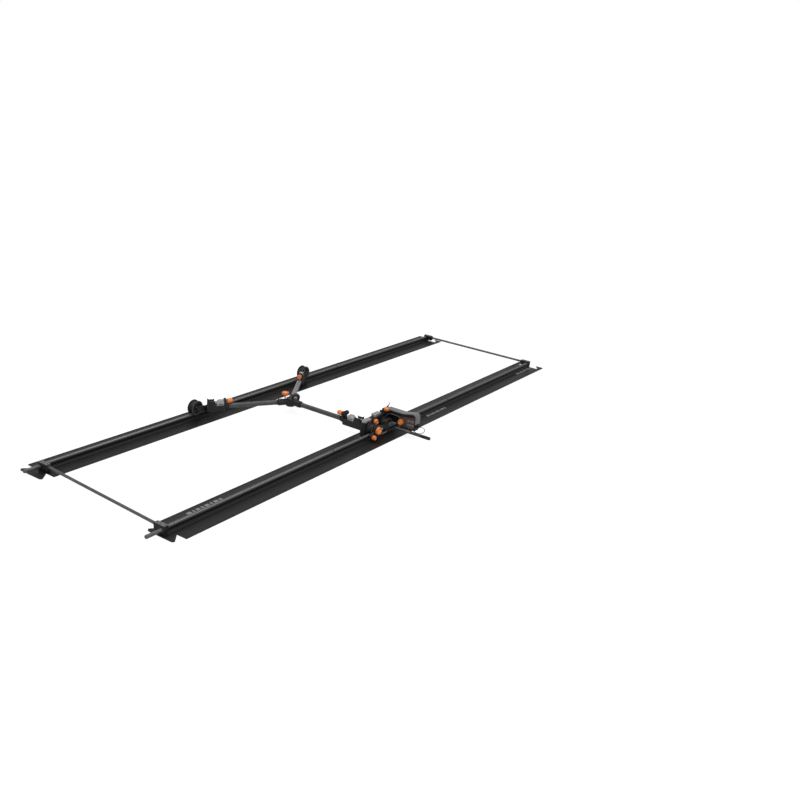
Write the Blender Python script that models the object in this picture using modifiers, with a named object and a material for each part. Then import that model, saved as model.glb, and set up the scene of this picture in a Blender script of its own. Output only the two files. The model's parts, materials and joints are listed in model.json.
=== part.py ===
"""A motorised three-wheel tripod dolly on a pair of dovetailed floor rails.

Metres, +Z up. X runs along the rails, Y across them, and the floor is z = 0. Everything is placed about the
middle of the track, and carried across at the end so that the origin is the middle of the near rail's
underside. The dolly's hub joins three arms: two end in grooved wheels on the far rail, and the third ends in
a drive unit with two grooved wheels on the near rail.
"""

import math

import bmesh
import bpy
from mathutils import Matrix, Vector

GAP = 0.0003

# Track
SECTION_LENGTH = 1.2
SECTION_COUNT = 3
TRACK_HALF = SECTION_LENGTH * SECTION_COUNT / 2
RAIL_Y = 0.45
SIDES = {"near": -1, "far": 1}
BASE_HALF_WIDTH = 0.100
BASE_THICKNESS = 0.0055
HEAD_RADIUS = 0.0125
HEAD_Z = 0.028
WEB_HALF_WIDTH = 0.008
FILLET_HALF_WIDTH = 0.020
HEAD_SHIFT = 0.050
HEAD_START = {"near": -0.050, "far": -0.005}
TONGUE_NECK = 0.043
TONGUE_HALF_WIDTH = 0.082
TONGUE_SHOULDER = 0.048
TONGUE_LENGTH = 0.062
TONGUE_CLEARANCE = 0.0010
SECTION_GAP = 0.0004
PIN_RADIUS = 0.0095
PIN_POCKET_RADIUS = 0.0101
PIN_POCKET_DEPTH = 0.060
PIN_REACH = 0.088
PIN_CHAMFER = 0.0015
SADDLE_LENGTH = 0.028
SADDLE_OUTER = 0.0165
SADDLE_INNER = 0.052
SADDLE_TOP = 0.0475
SADDLE_BOTTOM = 0.014
ROD_RADIUS = 0.0075
ROD_Z = 0.0355
ROD_SEAT_DEPTH = 0.012

# Dolly
HUB = Vector((-0.290, 0.150, 0.0))
ARM_Z = 0.068
TUBE_RADIUS = 0.0145
TUBE_START = 0.040
TUBE_END = 0.403
COLLAR_RADIUS = 0.0195
COLLAR_START = 0.005
COLLAR_END = 0.075
DRUM_RADIUS = 0.027
DRUM_BELOW = 0.026
DRUM_ABOVE = 0.0215
WHEEL_A = Vector((-0.780, RAIL_Y, 0.0))
WHEEL_B = Vector((0.190, RAIL_Y, 0.0))
WHEEL_HALF_WIDTH = 0.019
GROOVE_RADIUS = 0.0132
RIM_LIP = 0.0005
RIM_WALL = 0.0035
AXLE_RADIUS = 0.005
BIG_GROOVE_CENTRE = 0.0435
SMALL_GROOVE_CENTRE = 0.0345
BIG_WHEEL_Z = HEAD_Z + BIG_GROOVE_CENTRE
SMALL_WHEEL_Z = HEAD_Z + SMALL_GROOVE_CENTRE

# Foot cradle on each arm, as distances from the hub along the arm
FLANGE_AT = 0.396
FLANGE_THICKNESS = 0.011
FLANGE_HALF_WIDTH = 0.018
FLANGE_ABOVE_KNOB = 0.0155
KNOB_RISE = 0.0325
BLOCK_START = 0.404
BLOCK_HALF_WIDTH = 0.021
BLOCK_BOTTOM = 0.040
BLOCK_TOP = 0.0775
HORN_TOP = 0.110
CHEEK_INNER = 0.015

# Drive unit
DRIVE_Y = -RAIL_Y
DRIVE_WHEEL_X = (-0.283, -0.146)
HOUSING_X = (-0.246, -0.112)
MOTOR_X = (-0.320, -0.238)
MOTOR_Z = (0.014, 0.094)
HOUSING_Y = (-0.426, -0.388)
HOUSING_Z = (0.046, 0.108)
MOTOR_COVER_X = (-0.316, -0.2505)
GEAR_COVER_X = (-0.222, -0.158)
GLAND_AT = (-0.134, -0.400)
GLAND_RADIUS = 0.006
CLUTCH_AT = (-0.236, 0.091)
YOKE_Y = (-0.480, -0.474)
BOX_X = (-0.106, -0.063)
BOX_Y = (-0.6235, -0.388)
BOX_Z = (0.047, 0.129)
BOX_RISE = 0.0135
RISE_Y = (-0.600, -0.537)
ARCH_Y = (-0.516, -0.424)
ARCH_TOP = 0.108
ARCH_WALL = 0.004
ARCH_CORNERS = (0.016, 0.032)
PANEL_Y = (-0.6190, -0.5200)
PANEL_Z = (0.0550, 0.1270)
PANEL_SLOPE = 0.0150
PANEL_THICKNESS = 0.004
BUTTON_SIZE = (0.0055, 0.0105, 0.014)
BUTTON_PITCH = (0.0145, 0.022)

# Small pieces
BITE = 0.0005
TONGUE_CORNER = 0.006
KNOB_STEM_RADIUS = 0.004
DRUM_TOP_GAP = 0.0222
PIVOT_CENTRE = Vector((-0.262, 0.134, 0.090))
PIVOT_RADIUS = 0.024
PIVOT_BACK = 0.012
PIVOT_FRONT = 0.016
PIVOT_CAP_RADIUS = 0.012
PIVOT_CAP_SEAT = 0.010
PIVOT_CAP_DEPTH = 0.008
JAW_START = 0.462
HORN_LENGTH = 0.040
CUP_START = 0.410
CUP_LENGTH = 0.042
CUP_HALF_WIDTH = 0.0155
CUP_HEIGHT = 0.0285
STRAP_REACH = 0.0120
STRAP_RADIUS = 0.0025
STRAP_WIDTH = 0.022
STRAP_Z = 0.0965
BLOCK_END = 0.512
BLOCK_END_C = 0.5370
CRADLE_C_SHIFT = 0.028
BALL_AT = 0.421
BALL_RADIUS = 0.013
BALL_Z = 0.1155
BALL_FOOT_HEIGHT = 0.006
BRACKET_RADIUS = 0.016
BRACKET_THICKNESS = 0.010
BRACKET_GAP = 0.0045
BRACKET_REACH = 0.055
HUB_KNOB_OUT = 0.036
YOKE_FOOT = (-0.323, 0.031)
LEVER_Y = -0.530
CLAMP_AT = (-0.1300, -0.4375)
ANTENNA_AT = (-0.078, -0.4085, 0.1345)
ANTENNA_LEAN = math.radians(28)
LEVER_LENGTH = 0.203
LEVER_HALF_WIDTH = 0.0075
LEVER_DEPTH = 0.013
HOOD_Y = -0.420
HOOD_LIP = 0.088
HOOD_OVERHANG = 0.002
HOOD_THICKNESS = 0.005
BOX_BEND = 0.016
LEAD_X = -0.083
LEAD_Z = 0.0745
LEAD_RADIUS = 0.0022
CONNECTOR_RADIUS = 0.0125
CONNECTOR_NECK = 0.0080
CONNECTOR_LENGTH = 0.024
DIAL_Y = -0.5375
DIAL_Z = 0.0860
KEY_CENTRE = (-0.5960, 0.0895)
KEY_GAP = 0.0004
KEY_TRAVEL = 0.0013

UP = Vector((0, 0, 1))
ALONG_X = (0.0, math.pi / 2, 0.0)
AGAINST_X = (0.0, -math.pi / 2, 0.0)
ALONG_Y = (-math.pi / 2, 0.0, 0.0)
AGAINST_Y = (math.pi / 2, 0.0, 0.0)
UPRIGHT = (0.0, 0.0, 0.0)

ROUND = 24


def clear_scene():
    for thing in list(bpy.data.objects):
        bpy.data.objects.remove(thing, do_unlink=True)


def make_collection(name):
    collection = bpy.data.collections.new(name)
    bpy.context.scene.collection.children.link(collection)
    return collection


def make_material(name, colour, roughness, metallic):
    material = bpy.data.materials.new(name)
    material.use_nodes = True
    shader = material.node_tree.nodes["Principled BSDF"]
    shader.inputs["Base Color"].default_value = (*colour, 1.0)
    shader.inputs["Roughness"].default_value = roughness
    shader.inputs["Metallic"].default_value = metallic
    return material


clear_scene()
PARTS = make_collection("tripod_dolly")
HELPERS = make_collection("cutters")
RAIL_BLACK = make_material("rail_black", (0.045, 0.045, 0.046), 0.45, 0.0)
CAST_BLACK = make_material("cast_black", (0.030, 0.030, 0.032), 0.50, 0.2)
TUBE_GREY = make_material("tube_grey", (0.060, 0.060, 0.063), 0.40, 0.3)
WHEEL_BLACK = make_material("wheel_black", (0.020, 0.020, 0.021), 0.55, 0.0)
ORANGE = make_material("orange_anodised", (0.85, 0.26, 0.05), 0.30, 0.6)
SILVER = make_material("silver", (0.62, 0.60, 0.56), 0.35, 0.8)
HOOD_GREY = make_material("hood_grey", (0.20, 0.20, 0.20), 0.50, 0.0)
PANEL_BROWN = make_material("panel_brown", (0.10, 0.06, 0.05), 0.40, 0.0)
KEY_GREY = make_material("key_grey", (0.25, 0.20, 0.18), 0.50, 0.0)
STRAP_WHITE = make_material("strap_white", (0.70, 0.69, 0.66), 0.60, 0.0)
LEAD_GREY = make_material("lead_grey", (0.35, 0.35, 0.36), 0.50, 0.0)


def make_empty(name, place, heading=0.0):
    empty = bpy.data.objects.new(name, None)
    empty.location = place
    empty.rotation_euler = (0.0, 0.0, heading)
    PARTS.objects.link(empty)
    return empty


def add_object(name, mesh, material, parent=None, place=(0, 0, 0), turn=(0, 0, 0)):
    thing = bpy.data.objects.new(name, mesh)
    thing.location = place
    thing.rotation_euler = turn
    thing.parent = parent
    if material:
        mesh.materials.append(material)
    PARTS.objects.link(thing)
    return thing


def add_helper(name, mesh, place=(0, 0, 0), turn=(0, 0, 0), parent=None):
    thing = add_object(name, mesh, None, parent, place, turn)
    PARTS.objects.unlink(thing)
    HELPERS.objects.link(thing)
    thing.hide_render = True
    thing.display_type = "WIRE"
    return thing


def box_mesh(name, low, high):
    """A cuboid between two corners."""
    low, high = Vector(low), Vector(high)
    bm = bmesh.new()
    bmesh.ops.create_cube(bm, size=1.0)
    bmesh.ops.scale(bm, vec=high - low, verts=bm.verts)
    bmesh.ops.translate(bm, vec=(low + high) / 2, verts=bm.verts)
    mesh = bpy.data.meshes.new(name)
    bm.to_mesh(mesh)
    bm.free()
    return mesh


def cylinder_mesh(name, radius, start, end, sides=ROUND, far_radius=None):
    """A closed cylinder or cone from one point to another."""
    start, end = Vector(start), Vector(end)
    run = end - start
    bm = bmesh.new()
    bmesh.ops.create_cone(
        bm,
        cap_ends=True,
        segments=sides,
        radius1=radius,
        radius2=radius if far_radius is None else far_radius,
        depth=run.length,
    )
    spin = Vector((0, 0, 1)).rotation_difference(run).to_matrix().to_4x4()
    bmesh.ops.transform(bm, matrix=Matrix.Translation((start + end) / 2) @ spin, verts=bm.verts)
    mesh = bpy.data.meshes.new(name)
    bm.to_mesh(mesh)
    bm.free()
    mesh.shade_smooth()
    mesh.set_sharp_from_angle(angle=math.radians(40))
    return mesh


def ball_mesh(name, radius, place):
    bm = bmesh.new()
    bmesh.ops.create_uvsphere(bm, u_segments=14, v_segments=9, radius=radius)
    bmesh.ops.translate(bm, vec=place, verts=bm.verts)
    mesh = bpy.data.meshes.new(name)
    bm.to_mesh(mesh)
    bm.free()
    mesh.shade_smooth()
    return mesh


def plate_mesh(name, outline, thickness, holes=(), plane="XY"):
    """A flat outline given thickness, centred on its plane: XY, YZ (extruded along X) or XZ (along Y)."""
    curve = bpy.data.curves.new(name, "CURVE")
    curve.dimensions = "2D"
    curve.fill_mode = "BOTH"
    curve.extrude = thickness / 2
    for loop in (outline, *holes):
        spline = curve.splines.new("POLY")
        spline.points.add(len(loop) - 1)
        for point, (u, v) in zip(spline.points, loop):
            point.co = (u, v, 0.0, 1.0)
        spline.use_cyclic_u = True
    holder = bpy.data.objects.new(name, curve)
    HELPERS.objects.link(holder)
    bpy.context.view_layer.update()
    graph = bpy.context.evaluated_depsgraph_get()
    mesh = bpy.data.meshes.new_from_object(holder.evaluated_get(graph))
    bpy.data.objects.remove(holder, do_unlink=True)
    bm = bmesh.new()
    bm.from_mesh(mesh)
    bmesh.ops.remove_doubles(bm, verts=bm.verts, dist=1e-6)
    turns = {
        "XY": Matrix.Identity(3),
        "YZ": Matrix(((0, 0, 1), (1, 0, 0), (0, 1, 0))),
        "XZ": Matrix(((1, 0, 0), (0, 0, -1), (0, 1, 0))),
    }
    bmesh.ops.transform(bm, matrix=turns[plane].to_4x4(), verts=bm.verts)
    bmesh.ops.recalc_face_normals(bm, faces=bm.faces)
    bm.to_mesh(mesh)
    bm.free()
    mesh.name = name
    return mesh


def arc(centre, radius, start, end, count):
    """Points on an arc, with the angles in degrees."""
    angles = (math.radians(start + (end - start) * i / (count - 1)) for i in range(count))
    return [(centre[0] + radius * math.cos(a), centre[1] + radius * math.sin(a)) for a in angles]


def rounded_box_outline(low, high, radius, count=4):
    corners = (
        ((high[0] - radius, high[1] - radius), 0),
        ((low[0] + radius, high[1] - radius), 90),
        ((low[0] + radius, low[1] + radius), 180),
        ((high[0] - radius, low[1] + radius), 270),
    )
    return [point for centre, start in corners for point in arc(centre, radius, start, start + 90, count)]


def stadium_outline(first, second, radius, count=9):
    """Two half circles joined by straight sides."""
    run = math.degrees(math.atan2(second[1] - first[1], second[0] - first[0]))
    return arc(first, radius, run + 90, run + 270, count) + arc(second, radius, run - 90, run + 90, count)


def turned(name, profile, material, parent=None, place=(0, 0, 0), turn=(0, 0, 0), steps=ROUND, ring=False):
    """A shape of revolution about local Z. The profile is (radius, height), from the top down."""
    mesh = bpy.data.meshes.new(name)
    bm = bmesh.new()
    points = [bm.verts.new((radius, 0.0, height)) for radius, height in profile]
    for first, second in zip(points, points[1:]):
        bm.edges.new((first, second))
    if ring:
        bm.edges.new((points[-1], points[0]))
    bm.to_mesh(mesh)
    bm.free()
    thing = add_object(name, mesh, material, parent, place, turn)
    screw = thing.modifiers.new("Screw", "SCREW")
    screw.steps = steps
    screw.render_steps = steps
    screw.use_merge_vertices = True
    screw.merge_threshold = 0.00001
    screw.use_smooth_shade = True
    return thing


def add_bevel(thing, width, segments=1):
    bevel = thing.modifiers.new("Bevel", "BEVEL")
    bevel.width = width
    bevel.segments = segments
    bevel.limit_method = "ANGLE"
    bevel.angle_limit = math.radians(50)


def boolean(thing, mesh, operation, parent=None):
    helper = add_helper(f"{thing.name}_{operation.lower()}", mesh, parent=parent)
    step = thing.modifiers.new(helper.name, "BOOLEAN")
    step.operation = operation
    step.object = helper


def join(thing, *meshes, parent=None):
    for mesh in meshes:
        boolean(thing, mesh, "UNION", parent)


def cut(thing, *meshes, parent=None):
    for mesh in meshes:
        boolean(thing, mesh, "DIFFERENCE", parent)


# ---- Track ----


def dovetail(x, shrink):
    """Half of a dovetail's outline, from its neck at x out to its tip."""
    shoulder = TONGUE_HALF_WIDTH - shrink
    tip = x - TONGUE_LENGTH + shrink
    return [
        (x, TONGUE_NECK - shrink),
        (x - TONGUE_SHOULDER, shoulder),
        (x - TONGUE_SHOULDER - TONGUE_CORNER, shoulder),
        (tip, shoulder - 1.4 * TONGUE_CORNER),
    ]


def mirrored(points):
    return [(x, -y) for x, y in points]


def base_outline(left, right):
    """A section's base seen from above: a tongue at its left end and the matching socket at its right."""
    tongue, socket = dovetail(left, TONGUE_CLEARANCE), dovetail(right, 0.0)
    return (
        [(right, -BASE_HALF_WIDTH), *mirrored(socket), *reversed(socket), (right, BASE_HALF_WIDTH)]
        + [(left, BASE_HALF_WIDTH), *tongue, *reversed(mirrored(tongue)), (left, -BASE_HALF_WIDTH)]
    )


def head_outline():
    """The rail's round head on its web, with a fillet down to the base on each side."""
    reach = FILLET_HALF_WIDTH - WEB_HALF_WIDTH
    fillet = arc((FILLET_HALF_WIDTH, BASE_THICKNESS + reach), reach, 270, 180, 4)
    neck = math.degrees(math.acos(WEB_HALF_WIDTH / HEAD_RADIUS))
    crown = arc((0.0, HEAD_Z), HEAD_RADIUS, -neck, 180 + neck, 19)
    foot = BASE_THICKNESS - BITE
    far_side = [(-y, z) for y, z in reversed(fillet)]
    return [(FILLET_HALF_WIDTH, foot), *fillet, *crown, *far_side, (-FILLET_HALF_WIDTH, foot)]


def rail_section(label, index, side):
    """One section of rail. Its head is shifted along, so that the joints in head and base don't line up."""
    name = f"{label}_rail_{index + 1}"
    left = -TRACK_HALF + index * SECTION_LENGTH
    right = left + SECTION_LENGTH
    first, last = index == 0, index == SECTION_COUNT - 1
    edge = right if last else right - SECTION_GAP
    head_start = left + HEAD_START[label] if first else left - HEAD_SHIFT
    head_end = edge - HEAD_SHIFT
    base = plate_mesh(name, base_outline(left, edge), BASE_THICKNESS)
    base.transform(Matrix.Translation((0, 0, BASE_THICKNESS / 2)))
    rail = add_object(name, base, RAIL_BLACK, place=(0, side * RAIL_Y, 0))
    head = plate_mesh(f"{name}_head", head_outline(), head_end - head_start, plane="YZ")
    head.transform(Matrix.Translation(((head_start + head_end) / 2, 0, 0)))
    relief = box_mesh(
        f"{name}_relief",
        (edge - TONGUE_LENGTH, -1.5 * FILLET_HALF_WIDTH, -BITE),
        (head_end + BITE, 1.5 * FILLET_HALF_WIDTH, BASE_THICKNESS + BITE),
    )
    join(rail, head, parent=rail)
    cut(rail, relief, parent=rail)
    for ending, mouth, way in ((first, head_start, 1), (last, head_end, -1)):
        if ending:
            start = Vector((mouth - way * BITE, 0, HEAD_Z))
            end = Vector((mouth + way * PIN_POCKET_DEPTH, 0, HEAD_Z))
            cut(rail, cylinder_mesh(f"{name}_pocket", PIN_POCKET_RADIUS, start, end, 16), parent=rail)
    return rail


def saddle(name, x, side, rod):
    """A block astride the rail's head that reaches inwards, with a seat for the spreader rod."""
    low = (x, min(side * SADDLE_OUTER, -side * SADDLE_INNER), SADDLE_BOTTOM)
    high = (x + SADDLE_LENGTH, max(side * SADDLE_OUTER, -side * SADDLE_INNER), SADDLE_TOP)
    block = add_object(name, box_mesh(name, low, high), CAST_BLACK, place=(0, side * RAIL_Y, 0))
    add_bevel(block, 0.0025)
    wide = HEAD_RADIUS + GAP
    channel = [(wide, SADDLE_BOTTOM - BITE), *arc((0, HEAD_Z), wide, 0, 180, 15)]
    channel.append((-wide, SADDLE_BOTTOM - BITE))
    tunnel = plate_mesh(f"{name}_channel", channel, 2 * SADDLE_LENGTH, plane="YZ")
    tunnel.transform(Matrix.Translation((x + SADDLE_LENGTH / 2, 0, 0)))
    cut(block, tunnel, parent=block)
    cut(block, cylinder_mesh("rod_seat", ROD_RADIUS + GAP, *rod))


def rod_run(near_x, far_x, extra):
    """The ends of a spreader rod whose saddles stand at these places, lengthened by extra at each end."""
    reach = RAIL_Y - SADDLE_INNER + ROD_SEAT_DEPTH
    middle = SADDLE_LENGTH / 2
    near = Vector((near_x + middle, -reach, ROD_Z))
    far = Vector((far_x + middle, reach, ROD_Z))
    way = (far - near).normalized() * extra
    return near - way, far + way


def joining_pin(label, side):
    mouth = -TRACK_HALF + HEAD_START[label]
    length = PIN_REACH + PIN_POCKET_DEPTH - 10 * BITE
    profile = [
        (0, length),
        (PIN_RADIUS - PIN_CHAMFER, length),
        (PIN_RADIUS, length - PIN_CHAMFER),
        (PIN_RADIUS, PIN_CHAMFER),
        (PIN_RADIUS - PIN_CHAMFER, 0),
        (0, 0),
    ]
    place = (mouth - PIN_REACH, side * RAIL_Y, HEAD_Z)
    turned(f"{label}_joining_pin", profile, CAST_BLACK, place=place, turn=ALONG_X, steps=16)


def build_track():
    starts = {
        "left": {label: -TRACK_HALF + HEAD_START[label] for label in SIDES},
        "right": {label: TRACK_HALF - HEAD_SHIFT - SADDLE_LENGTH for label in SIDES},
    }
    for label, side in SIDES.items():
        for index in range(SECTION_COUNT):
            rail_section(label, index, side)
        joining_pin(label, side)
    for end, places in starts.items():
        near, far = places["near"], places["far"]
        for label, side in SIDES.items():
            saddle(f"{label}_saddle_{end}", places[label], side, rod_run(near, far, 0.0))
        rod = cylinder_mesh(f"spreader_rod_{end}", ROD_RADIUS, *rod_run(near, far, -2 * GAP), 16)
        add_object(f"spreader_rod_{end}", rod, CAST_BLACK)


# ---- Dolly ----


def heading_of(vector):
    return math.atan2(vector.y, vector.x)


def wheel(name, place, groove_centre, parent):
    """A wheel with a round groove, open spokes and a boss on its axle. Its axis is local Z."""
    rim = groove_centre + RIM_LIP
    floor = groove_centre - GROOVE_RADIUS - RIM_WALL
    bore = AXLE_RADIUS + GAP
    boss = min(0.0115, floor - 0.004)
    half = WHEEL_HALF_WIDTH
    upper = [
        (bore, half - 0.003),
        (boss, half - 0.003),
        (boss, 0.006),
        (floor, 0.006),
        (floor, half - 0.004),
        (rim - 0.009, half - 0.003),
        (rim - 0.007, half),
        (rim - 0.001, half),
        (rim, half - 0.001),
    ]
    groove = arc((groove_centre, 0.0), GROOVE_RADIUS, 90, 270, 9)
    lower = [(r, -h) for r, h in reversed(upper)]
    profile = [*upper, (rim, GROOVE_RADIUS), *groove, (rim, -GROOVE_RADIUS), *lower]
    return turned(name, profile, WHEEL_BLACK, parent, place, ALONG_Y, ring=True)


def knob(name, radius, height, stem, place, turn, parent=None):
    """A clamp knob on local Z: its stem starts at the origin, and the grip stands past it."""
    edge = 0.12 * radius
    profile = [
        (0, stem + height - edge / 2),
        (0.55 * radius, stem + height - edge / 2),
        (0.62 * radius, stem + height),
        (radius - edge, stem + height),
        (radius, stem + height - edge),
        (radius, stem + edge),
        (radius - edge, stem),
        (KNOB_STEM_RADIUS, stem),
        (KNOB_STEM_RADIUS, 0),
        (0, 0),
    ]
    return turned(name, profile, ORANGE, parent, place, turn, steps=20)


def outward(heading):
    return Vector((math.cos(heading), math.sin(heading), 0))


def build_hub(dolly, headings):
    """The drum with a collar for each arm, and a cross-wise pivot ring whose cap faces away from arm B."""
    axis = Vector((0, 0, ARM_Z))
    drum = cylinder_mesh("hub_body", DRUM_RADIUS, axis - UP * DRUM_BELOW, axis + UP * DRUM_ABOVE)
    hub = add_object("hub_body", drum, CAST_BLACK, dolly)
    for heading in headings:
        way = outward(heading)
        collar = cylinder_mesh("collar", COLLAR_RADIUS, axis + way * COLLAR_START, axis + way * COLLAR_END)
        join(hub, collar, parent=dolly)
    facing = -outward(headings[1])
    ring = PIVOT_CENTRE - HUB
    start, end = ring - facing * PIVOT_BACK, ring + facing * PIVOT_FRONT
    join(hub, cylinder_mesh("pivot", PIVOT_RADIUS, start, end), parent=dolly)
    for heading in headings:
        start, end = axis + outward(heading) * (TUBE_START - GAP), axis + outward(heading) * 2 * COLLAR_END
        cut(hub, cylinder_mesh("socket", TUBE_RADIUS + GAP, start, end), parent=dolly)
    seat = ring + facing * PIVOT_CAP_SEAT
    recess = cylinder_mesh("recess", PIVOT_CAP_RADIUS + GAP, seat, seat + facing * 2 * PIVOT_CAP_DEPTH)
    cut(hub, recess, parent=dolly)
    start, end = seat + facing * GAP, seat + facing * PIVOT_CAP_DEPTH
    add_object("hub_cap", cylinder_mesh("hub_cap", PIVOT_CAP_RADIUS, start, end, 20), SILVER, dolly)


def cradle_block(name, arm, jaw, end):
    """The casting at an arm's end: collar, flange for the clamp knob, block and two horned cheeks."""
    axis = Vector((0, 0, ARM_Z))
    along = Vector((1, 0, 0))
    low = (BLOCK_START, -BLOCK_HALF_WIDTH, BLOCK_BOTTOM)
    high = (end, BLOCK_HALF_WIDTH, BLOCK_TOP)
    block = add_object(name, box_mesh(name, low, high), CAST_BLACK, arm)
    add_bevel(block, 0.004)
    start, stop = axis + along * (FLANGE_AT - 0.004), axis + along * (BLOCK_START + 0.003)
    join(block, cylinder_mesh("collar", COLLAR_RADIUS, start, stop), parent=arm)
    flange_top = ARM_Z + KNOB_RISE + FLANGE_ABOVE_KNOB
    flange = rounded_box_outline((-FLANGE_HALF_WIDTH, ARM_Z), (FLANGE_HALF_WIDTH, flange_top), 0.012, 4)
    sheet = plate_mesh("flange", flange, FLANGE_THICKNESS, plane="YZ")
    sheet.transform(Matrix.Translation((FLANGE_AT + FLANGE_THICKNESS / 2, 0, 0)))
    join(block, sheet, parent=arm)
    cheek = [
        (jaw, BLOCK_TOP - 0.002),
        (jaw + HORN_LENGTH, BLOCK_TOP - 0.002),
        (jaw + HORN_LENGTH, HORN_TOP + 0.006),
        (jaw + HORN_LENGTH - 0.008, HORN_TOP - 0.002),
        (jaw + 0.006, HORN_TOP - 0.003),
        (jaw, HORN_TOP),
    ]
    thickness = BLOCK_HALF_WIDTH - CHEEK_INNER
    for way in (-1, 1):
        sheet = plate_mesh("cheek", cheek, thickness, plane="XZ")
        sheet.transform(Matrix.Translation((0, way * (CHEEK_INNER + thickness / 2 - BITE), 0)))
        join(block, sheet, parent=arm)
    mouth = FLANGE_AT - 0.01
    socket = cylinder_mesh("socket", TUBE_RADIUS + GAP, axis + along * mouth, axis + along * (TUBE_END + GAP))
    axis.z += KNOB_RISE
    start, stop = axis + along * mouth, axis + along * (FLANGE_AT + 2 * FLANGE_THICKNESS)
    screw = cylinder_mesh("screw", KNOB_STEM_RADIUS + GAP, start, stop, 20)
    cut(block, socket, screw, parent=arm)
    return block


def foot_cup(name, arm, start):
    """The sliding jaw that holds a tripod foot against the horns."""
    end = start + CUP_LENGTH
    low, high = BLOCK_TOP + GAP, BLOCK_TOP + CUP_HEIGHT
    outline = [(start, low), (end, low), (end, high - 0.012), (end - 0.014, high), (start, high)]
    mesh = plate_mesh(name, outline, 2 * CUP_HALF_WIDTH, plane="XZ")
    cup = add_object(name, mesh, SILVER, arm)
    add_bevel(cup, 0.0015)
    return cup


def foot_strap(name, arm, jaw):
    """A strap across the horns, hinged on one side. Its origin is its hinge."""
    outline = stadium_outline((0.0, 0.0), (-2 * STRAP_REACH, 0.0), STRAP_RADIUS, 7)
    mesh = plate_mesh(name, outline, STRAP_WIDTH, plane="YZ")
    place = (jaw + HORN_LENGTH / 2, STRAP_REACH, STRAP_Z)
    return add_object(name, mesh, STRAP_WHITE, arm, place)


def build_arm(label, dolly, heading, shift, end):
    """One arm, in a frame whose +X runs out from the hub along the tube."""
    arm = make_empty(f"arm_{label}", (0, 0, 0), heading)
    arm.parent = dolly
    tube = cylinder_mesh(f"arm_tube_{label}", TUBE_RADIUS, (TUBE_START, 0, ARM_Z), (TUBE_END, 0, ARM_Z))
    add_object(f"arm_tube_{label}", tube, TUBE_GREY, arm)
    block = cradle_block(f"cradle_{label}", arm, JAW_START + shift, end)
    foot_cup(f"foot_cup_{label}", arm, CUP_START + shift)
    foot_strap(f"foot_strap_{label}", arm, JAW_START + shift)
    tip = FLANGE_AT + FLANGE_THICKNESS
    knob(f"cradle_knob_{label}", 0.0135, 0.030, 0.018, (tip, 0, ARM_Z + KNOB_RISE), AGAINST_X, arm)
    return block, arm


def wheel_bracket(block, dolly, axle, reach):
    """A plate beside the wheel and its axle, both part of the cradle casting."""
    x, y = axle.x - HUB.x, axle.y - HUB.y
    outline = stadium_outline((x, BIG_WHEEL_Z), (x + reach, ARM_Z - 0.006), BRACKET_RADIUS, 9)
    sheet = plate_mesh("bracket", outline, BRACKET_THICKNESS, plane="XZ")
    face = y - WHEEL_HALF_WIDTH - BRACKET_GAP
    sheet.transform(Matrix.Translation((0, face - BRACKET_THICKNESS / 2, 0)))
    join(block, sheet, parent=dolly)
    start, end = (x, face - 0.002, BIG_WHEEL_Z), (x, y + WHEEL_HALF_WIDTH - 0.001, BIG_WHEEL_Z)
    join(block, cylinder_mesh("axle", AXLE_RADIUS, start, end, 16), parent=dolly)


# ---- Drive unit ----


def build_housing():
    """The gearbox housing beside the near rail, with the motor block, cable gland and both axles on it."""
    low, high = zip(HOUSING_X, HOUSING_Y, HOUSING_Z)
    housing = add_object("drive_housing", box_mesh("drive_housing", low, high), CAST_BLACK)
    add_bevel(housing, 0.005)
    near, far = HOUSING_Y[0] + BITE, HOUSING_Y[1] - BITE
    height = MOTOR_Z[1] - MOTOR_Z[0]
    motor = rounded_box_outline((MOTOR_X[0], near), (MOTOR_X[1], far), 0.006, 3)
    block = plate_mesh("motor_block", motor, height)
    block.transform(Matrix.Translation((0, 0, MOTOR_Z[0] + height / 2)))
    start, end = Vector((*GLAND_AT, HOUSING_Z[1] - 0.004)), Vector((*GLAND_AT, HOUSING_Z[1] + 0.016))
    join(housing, block, cylinder_mesh("gland", GLAND_RADIUS, start, end, 16))
    for x in DRIVE_WHEEL_X:
        start, end = (x, HOUSING_Y[0] + 0.004, SMALL_WHEEL_Z), (x, YOKE_Y[1] + GAP, SMALL_WHEEL_Z)
        join(housing, cylinder_mesh("axle", AXLE_RADIUS, start, end, 16))
    covers = (
        ("motor_cover", MOTOR_COVER_X, MOTOR_Z[1], 0.0145, 0.010),
        ("gear_cover", GEAR_COVER_X, HOUSING_Z[1], 0.0150, 0.008),
    )
    for name, (left, right), seat, rise, radius in covers:
        outline = rounded_box_outline((left, HOUSING_Y[0] + 0.004), (right, HOUSING_Y[1] - 0.003), radius)
        mesh = plate_mesh(name, outline, rise - GAP)
        mesh.transform(Matrix.Translation((0, 0, seat + (rise + GAP) / 2)))
        add_bevel(add_object(name, mesh, SILVER), 0.003)


def build_yoke():
    """The plate outside the drive wheels: a bar between the axles, a round end and a leg to the brake."""
    first, second = ((x, SMALL_WHEEL_Z) for x in DRIVE_WHEEL_X)
    thickness = YOKE_Y[1] - YOKE_Y[0]
    bar = plate_mesh("yoke_plate", stadium_outline(first, second, 0.013), thickness, plane="XZ")
    disc = plate_mesh("yoke_disc", arc(first, 0.026, 0, 345, 24), thickness, plane="XZ")
    leg = plate_mesh("yoke_leg", stadium_outline(first, YOKE_FOOT, 0.0125), thickness, plane="XZ")
    for mesh in (bar, disc, leg):
        mesh.transform(Matrix.Translation((0, sum(YOKE_Y) / 2, 0)))
    join(add_object("yoke_plate", bar, CAST_BLACK), disc, leg)


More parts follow.
